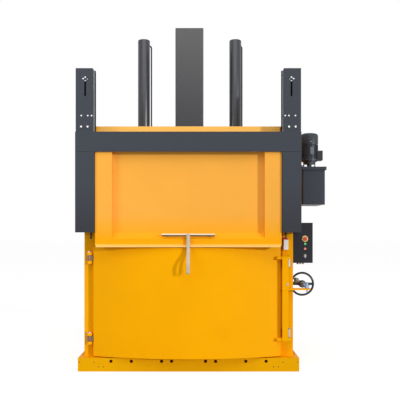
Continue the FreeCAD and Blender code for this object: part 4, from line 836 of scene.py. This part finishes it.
def makeStrap():
    # webbing: section (through, across) carried round the line, pointed at both edges
    line = strapLine()
    path = np.stack([0 * line[:, 0], line[:, 0], line[:, 1]], axis=1)
    w, t = strap["width"] / 2, strap["thickness"] / 2
    across = np.array([-1, -0.94, -0.5, 0, 0.5, 0.94, 1, 0.94, 0.5, 0, -0.5, -0.94]) * w
    through = np.array([0, 1, 1, 1, 1, 1, 0, -1, -1, -1, -1, -1]) * t
    points, faces = alongPart(path, np.stack([through, across], axis=1), (1, 0, 0), True)
    mesh = meshOf("pullStrapWebbing", points, faces, 60.0)
    length = np.concatenate([[0], np.cumsum(np.linalg.norm(np.diff(path, axis=0), axis=1))])
    place = {}
    for row, run in enumerate(length):
        for column, offset in enumerate(across):
            point = points[row * len(across) + column]
            place[tuple(np.round(point, 5))] = (offset, run)
    layer = mesh.uv_layers.new(name="weave")
    for loop in mesh.loops:
        co = mesh.vertices[loop.vertex_index].co
        layer.data[loop.index].uv = place.get(tuple(np.round(co[:], 5)), (0.0, 0.0))
    piece = keep(mesh, "pullStrapWebbing", "hatch", "webbing", None, ("pull_strap",))
    pushedUp(piece)


def makeStitches():
    # thread that sews both layers together under the bar: short stitches on the front face
    r, half = stitches["radius"], stitches["half"]
    profile = [(0, -half), (r * 0.9, -0.0012), (r, 0), (r * 0.9, 0.0012), (0, half)]
    lift = strap["thickness"] / 2 - stitches["proud"]
    parts = []
    for row in range(stitches["rows"]):
        z = stitches["top"] - row * stitches["pitch"]
        share = (strap["barZ"] - z) / (strap["barZ"] - strap["lipZ"])
        y = ((strap["barY"] - overBar) * (1 - share)
             + (strap["lipY"] - strap["layerGap"]) * share)
        for x in stitches["columns"]:
            parts.append(turnedPart(profile, (x, y - lift, z), (0, 0, 1), 6))
    points, faces = join(parts)
    pushedUp(keep(meshOf("pullStrapStitches", points, faces, 80.0), "pullStrapStitches", "hatch",
                  "webbing", finishes["grey_plastic"]))


makeStrap()
makeStitches()
print("pull strap")


# ropes

ropes = {"radius": 0.003, "hatchX": 0.920, "weightX": 1.004, "y": -0.6405, "sheaveZ": 2.915,
         "hatchZ": 2.200, "weightZ": 2.862, "sheaveX": 0.962, "wrapRadius": 0.042,
         "sides": 12, "arcRings": 32, "layAcross": 160.0, "layAlong": 5.0}


def ropeMesh(name, parts):
    points, faces = join(parts)
    mesh = meshOf(name, points, faces, 80.0)
    layer = mesh.uv_layers.new(name="lay")
    for polygon in mesh.polygons:
        for index in polygon.loop_indices:
            co = mesh.vertices[mesh.loops[index].vertex_index].co
            layer.data[index].uv = (co.x * ropes["layAcross"], co.z * ropes["layAlong"])
    return mesh


def ropeRun(x, low):
    # a straight run from low up to the sheave
    r = ropes["radius"]
    return turnedPart([(r, 0), (r, ropes["sheaveZ"] - low)], (x, ropes["y"], low), (0, 0, 1),
                      ropes["sides"])


def makeRopes():
    # straight runs have rings only at their ends, so they stretch evenly as the hatch moves
    runs = [ropeRun(side * ropes["hatchX"], ropes["hatchZ"]) for side in (-1, 1)]
    piece = keep(ropeMesh("hatchRopeRuns", runs), "hatchRopeRuns", None, "bright_steel", ropeSteel,
                 ("hatch_ropes",))
    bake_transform(piece)
    for side, word in ((-1, "left"), (1, "right")):
        run = ropeRun(side * ropes["weightX"], ropes["weightZ"])
        name = word + "WeightRopeRun"
        piece = keep(ropeMesh(name, [run]), name, None, "bright_steel", ropeSteel,
                     ("weight_rope_" + word,))
        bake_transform(piece)
    arcs = []
    section = circleSection(ropes["radius"], ropes["sides"])
    a = np.linspace(0, np.pi, ropes["arcRings"])
    for side in (-1, 1):
        x = side * ropes["sheaveX"] + ropes["wrapRadius"] * np.cos(a)
        z = ropes["sheaveZ"] + ropes["wrapRadius"] * np.sin(a)
        path = np.stack([x, np.full(len(a), ropes["y"]), z], axis=1)
        arcs.append(alongPart(path, section, (0, 1, 0)))
    keep(ropeMesh("sheaveRopeArcs", arcs), "sheaveRopeArcs", "frame", "bright_steel", ropeSteel,
         ("rope_wraps",))


makeRopes()
print("ropes")


# fasteners

def boltPart(place, axis, across, height):
    # hexagon head with a chamfered top on a plain washer
    r = across / 2 / math.cos(math.radians(30))
    washer = turnedPart([(0, 0), (across * 0.62, 0), (across * 0.62, height * 0.2),
                         (0, height * 0.2)], place, axis, 24)
    head = turnedPart([(0, height * 0.2), (r, height * 0.2), (r, height * 0.88),
                       (r * 0.88, height), (0, height)], place, axis, 6)
    dome = turnedPart([(0, height), (across * 0.40, height), (0, height * 1.03)], place, axis, 18)
    return join([washer, head, dome])


# middle and bolt circle of the motor's flange, and its four bolts' angles in radians
motorFlange = {"x": 1.270, "y": -0.195, "z": 2.0525, "circle": 0.076,
               "angles": (0.785, 2.356, 3.927, 5.498)}
bolts = {
    "motorFlangeBolts": {"body": "frame", "across": 0.013, "height": 0.008, "axis": (0, 0, 1),
                         "places": [(motorFlange["x"] + motorFlange["circle"] * math.cos(t),
                                     motorFlange["y"] + motorFlange["circle"] * math.sin(t),
                                     motorFlange["z"]) for t in motorFlange["angles"]]},
    "cylinderFlangeBolts": {"body": "frame", "across": 0.030, "height": 0.018, "axis": (0, 0, 1),
                            "places": [(sx * 0.498 + tx * 0.084, ty * 0.084, 2.483)
                                       for sx in (-1, 1) for tx in (-1, 1) for ty in (-1, 1)]},
    "cowlScrews": {"body": "frame", "across": 0.008, "height": 0.004, "axis": (0, -1, 0),
                   "places": [(1.270, -0.288, 2.318)]},
    "lockBolt": {"body": "lock", "across": 0.017, "height": 0.009, "axis": (0, -1, 0),
                 "places": [(0.975, -0.657, 0.859)]},
    "tankLidScrews": {"body": "frame", "across": 0.010, "height": 0.006, "axis": (0, 0, 1),
                      "places": [(x, y, 2.044) for x in (1.164, 1.280, 1.397)
                                 for y in (-0.394, 0.074)]
                      + [(x, -0.160, 2.044) for x in (1.164, 1.397)]},
}


def makeBolts():
    for name, kind in bolts.items():
        parts = [boltPart(place, kind["axis"], kind["across"], kind["height"])
                 for place in kind["places"]]
        points, faces = join(parts)
        keep(meshOf(name, points, faces, 25.0), name, kind["body"], "bright_steel",
             finishes["galvanised_steel"])


def boxPart(low, high):
    corners = [[x, y, z] for x in (low[0], high[0]) for y in (low[1], high[1])
               for z in (low[2], high[2])]
    faces = [[0, 1, 3, 2], [4, 6, 7, 5], [0, 4, 5, 1], [2, 3, 7, 6], [0, 2, 6, 4], [1, 5, 7, 3]]
    return np.array(corners), faces


motorPad = {"low": (1.265, -0.2912, 2.184), "high": (1.301, -0.2895, 2.262), "edge": 0.0005}


def makeMotorPad():
    # ground face of the cast pad on the motor's front
    pad = boxPart(motorPad["low"], motorPad["high"])
    piece = keep(meshOf("motorPadFace", *pad), "motorPadFace", "frame", slotOf["motor_body"],
                 otherFinishes["motor_pad"])
    breakEdges(piece, motorPad["edge"])


glands = {"x": (1.104, 1.131, 1.158), "y": -0.460, "z": 1.067, "sides": 72, "fluteEvery": 6,
          "fluteDepth": 0.035}


def glandPart(place):
    # hexagon body against the box, a fluted dome nut below it, a blind plug in its mouth
    body = turnedPart([(0, 0), (0.0127, 0), (0.0127, -0.0052), (0.0118, -0.006), (0, -0.006)],
                      place, (0, 0, 1), 6)
    neck = turnedPart([(0.008, -0.006), (0.008, -0.0076)], place, (0, 0, 1), 32)
    rows = [(0.0098, -0.0076), (0.0104, -0.0084), (0.0104, -0.0140), (0.0094, -0.0165),
            (0.0066, -0.0190)]
    sides = glands["sides"]
    points = turnedPoints(rows, place, (0, 0, 1), sides)
    flute = 1 - glands["fluteDepth"] * (np.arange(sides) % glands["fluteEvery"] == 0)
    centre = np.asarray(place)
    points[:, :, :2] = centre[:2] + (points[:, :, :2] - centre[:2]) * flute[None, :, None]
    faces = gridFaces(len(rows), sides, False, True).tolist() + [list(range(sides))]
    plug = turnedPart([(0.0066, -0.0190), (0.0056, -0.0190), (0.0050, -0.0178), (0, -0.0178)],
                      place, (0, 0, 1), 32)
    return join([body, neck, (points.reshape(-1, 3), faces), plug])


def makeGlands():
    places = [(x, glands["y"], glands["z"]) for x in glands["x"]]
    keep(meshOf("brownCableGland", *glandPart(places[0])), "brownCableGland", "frame",
         slotOf["cable_glands"], otherFinishes["cable_gland"])
    points, faces = join([glandPart(place) for place in places[1:]])
    keep(meshOf("greyCableGlands", points, faces), "greyCableGlands", "frame",
         slotOf["cable_glands"], finishes["grey_plastic"], ("cable_glands",))


# insets: each plug's distance from the base's end, and its height above the floor
shadeHolePlugs = {"insets": ((0.018, 0.092), (0.160, 0.092), (0.206, 0.046), (0.254, 0.046)),
             "halfWidth": 1.0915, "front": -0.645, "sunk": 0.0012, "radius": 0.0054,
             "edge": 0.001, "depth": 0.006}


def makeShadeHolePlugs():
    # black rubber plugs in the base's service holes; their black paints in the shade inside the
    # base
    r, y = shadeHolePlugs["radius"], shadeHolePlugs["front"] + shadeHolePlugs["sunk"]
    edge, depth = shadeHolePlugs["edge"], shadeHolePlugs["depth"]
    profile = [(0, 0), (r - edge, 0), (r, edge), (r, depth), (0, depth)]
    points, faces = join([turnedPart(profile, (side * (shadeHolePlugs["halfWidth"] - inset), y, z),
                                     (0, 1, 0), 24)
                          for inset, z in shadeHolePlugs["insets"] for side in (-1, 1)])
    keep(meshOf("shadeHolePlugs", points, faces), "shadeHolePlugs", "frame", "black_plastic")


makeBolts()
makeGlands()
makeShadeHolePlugs()
makeMotorPad()
print("fasteners:", sum(len(kind["places"]) for kind in bolts.values()))


# weld beads

bead = {"ripple": 0.13, "pool": 0.005, "ring": 0.00125, "taper": 0.004, "thinnest": 0.35,
        "sides": 8}


def weldPart(start, end, radius):
    # bead: r(s) = radius (1 + ripple sin(2 pi s / pool)), thinner towards both ends
    start, end = np.asarray(start, float), np.asarray(end, float)
    length = np.linalg.norm(end - start)
    rows = max(int(length / bead["ring"]), 4)
    s = np.linspace(0, 1, rows)
    path = start + s[:, None] * (end - start)
    a = np.linspace(0, 2 * np.pi, bead["sides"], endpoint=False)
    taper = np.clip(np.minimum(s, 1 - s) * length / bead["taper"], bead["thinnest"], 1)
    r = radius * (1 + bead["ripple"] * np.sin(2 * np.pi * s * length / bead["pool"])) * taper
    u, v = axisFrame(end - start)[:2]
    ring = np.cos(a)[None, :, None] * u + np.sin(a)[None, :, None] * v
    points = path[:, None, :] + r[:, None, None] * ring
    return points.reshape(-1, 3), tubeFaces(rows, bead["sides"])


# hinge ears: x from and to, the pins' heights, each ear's distance and thickness; bearing
# plates: x of both edges, z from and to; post feet: x from and to, z; lock: heights and ends
welds = {
    "postY": -0.545,
    "earX": (-1.011, -0.961), "pinZ": (0.318, 1.118), "earAway": 0.029, "earThick": 0.027,
    "plateX": (0.967, 1.019), "plateZ": ((0.326, 0.415), (1.025, 1.104)),
    "feetX": ((-1.046, -0.9145), (0.9145, 1.046)), "feetZ": 0.134,
    "armZ": (0.301, 0.329, 1.107, 1.135), "armX": 0.984, "armY": (-0.642, -0.606),
    "leverZ": (0.803, 0.819), "leverX": (0.925, 0.982), "leverY": -0.657,
}


def makeWelds():
    w, y, thick = welds, welds["postY"], welds["earThick"]
    ears = [low + up for z in w["pinZ"] for low in (z + w["earAway"], z - w["earAway"] - thick)
            for up in (0.0, thick)]
    postLines = [((w["earX"][0], y, z), (w["earX"][1], y, z)) for z in ears]
    postLines += [((x, y, low), (x, y, high)) for low, high in w["plateZ"] for x in w["plateX"]]
    postLines += [((x0, y, w["feetZ"]), (x1, y, w["feetZ"])) for x0, x1 in w["feetX"]]
    lockLines = [((w["armX"], w["armY"][0], z), (w["armX"], w["armY"][1], z)) for z in w["armZ"]]
    lockLines += [((w["leverX"][0], w["leverY"], z), (w["leverX"][1], w["leverY"], z))
                  for z in w["leverZ"]]
    for name, body, lines, radius in (("postWelds", "frame", postLines, 0.003),
                                      ("lockWelds", "lock", lockLines, 0.0025)):
        points, faces = join([weldPart(start, end, radius) for start, end in lines])
        keep(meshOf(name, points, faces, 60.0), name, body, "yellow_paint")


makeWelds()
print("weld beads")
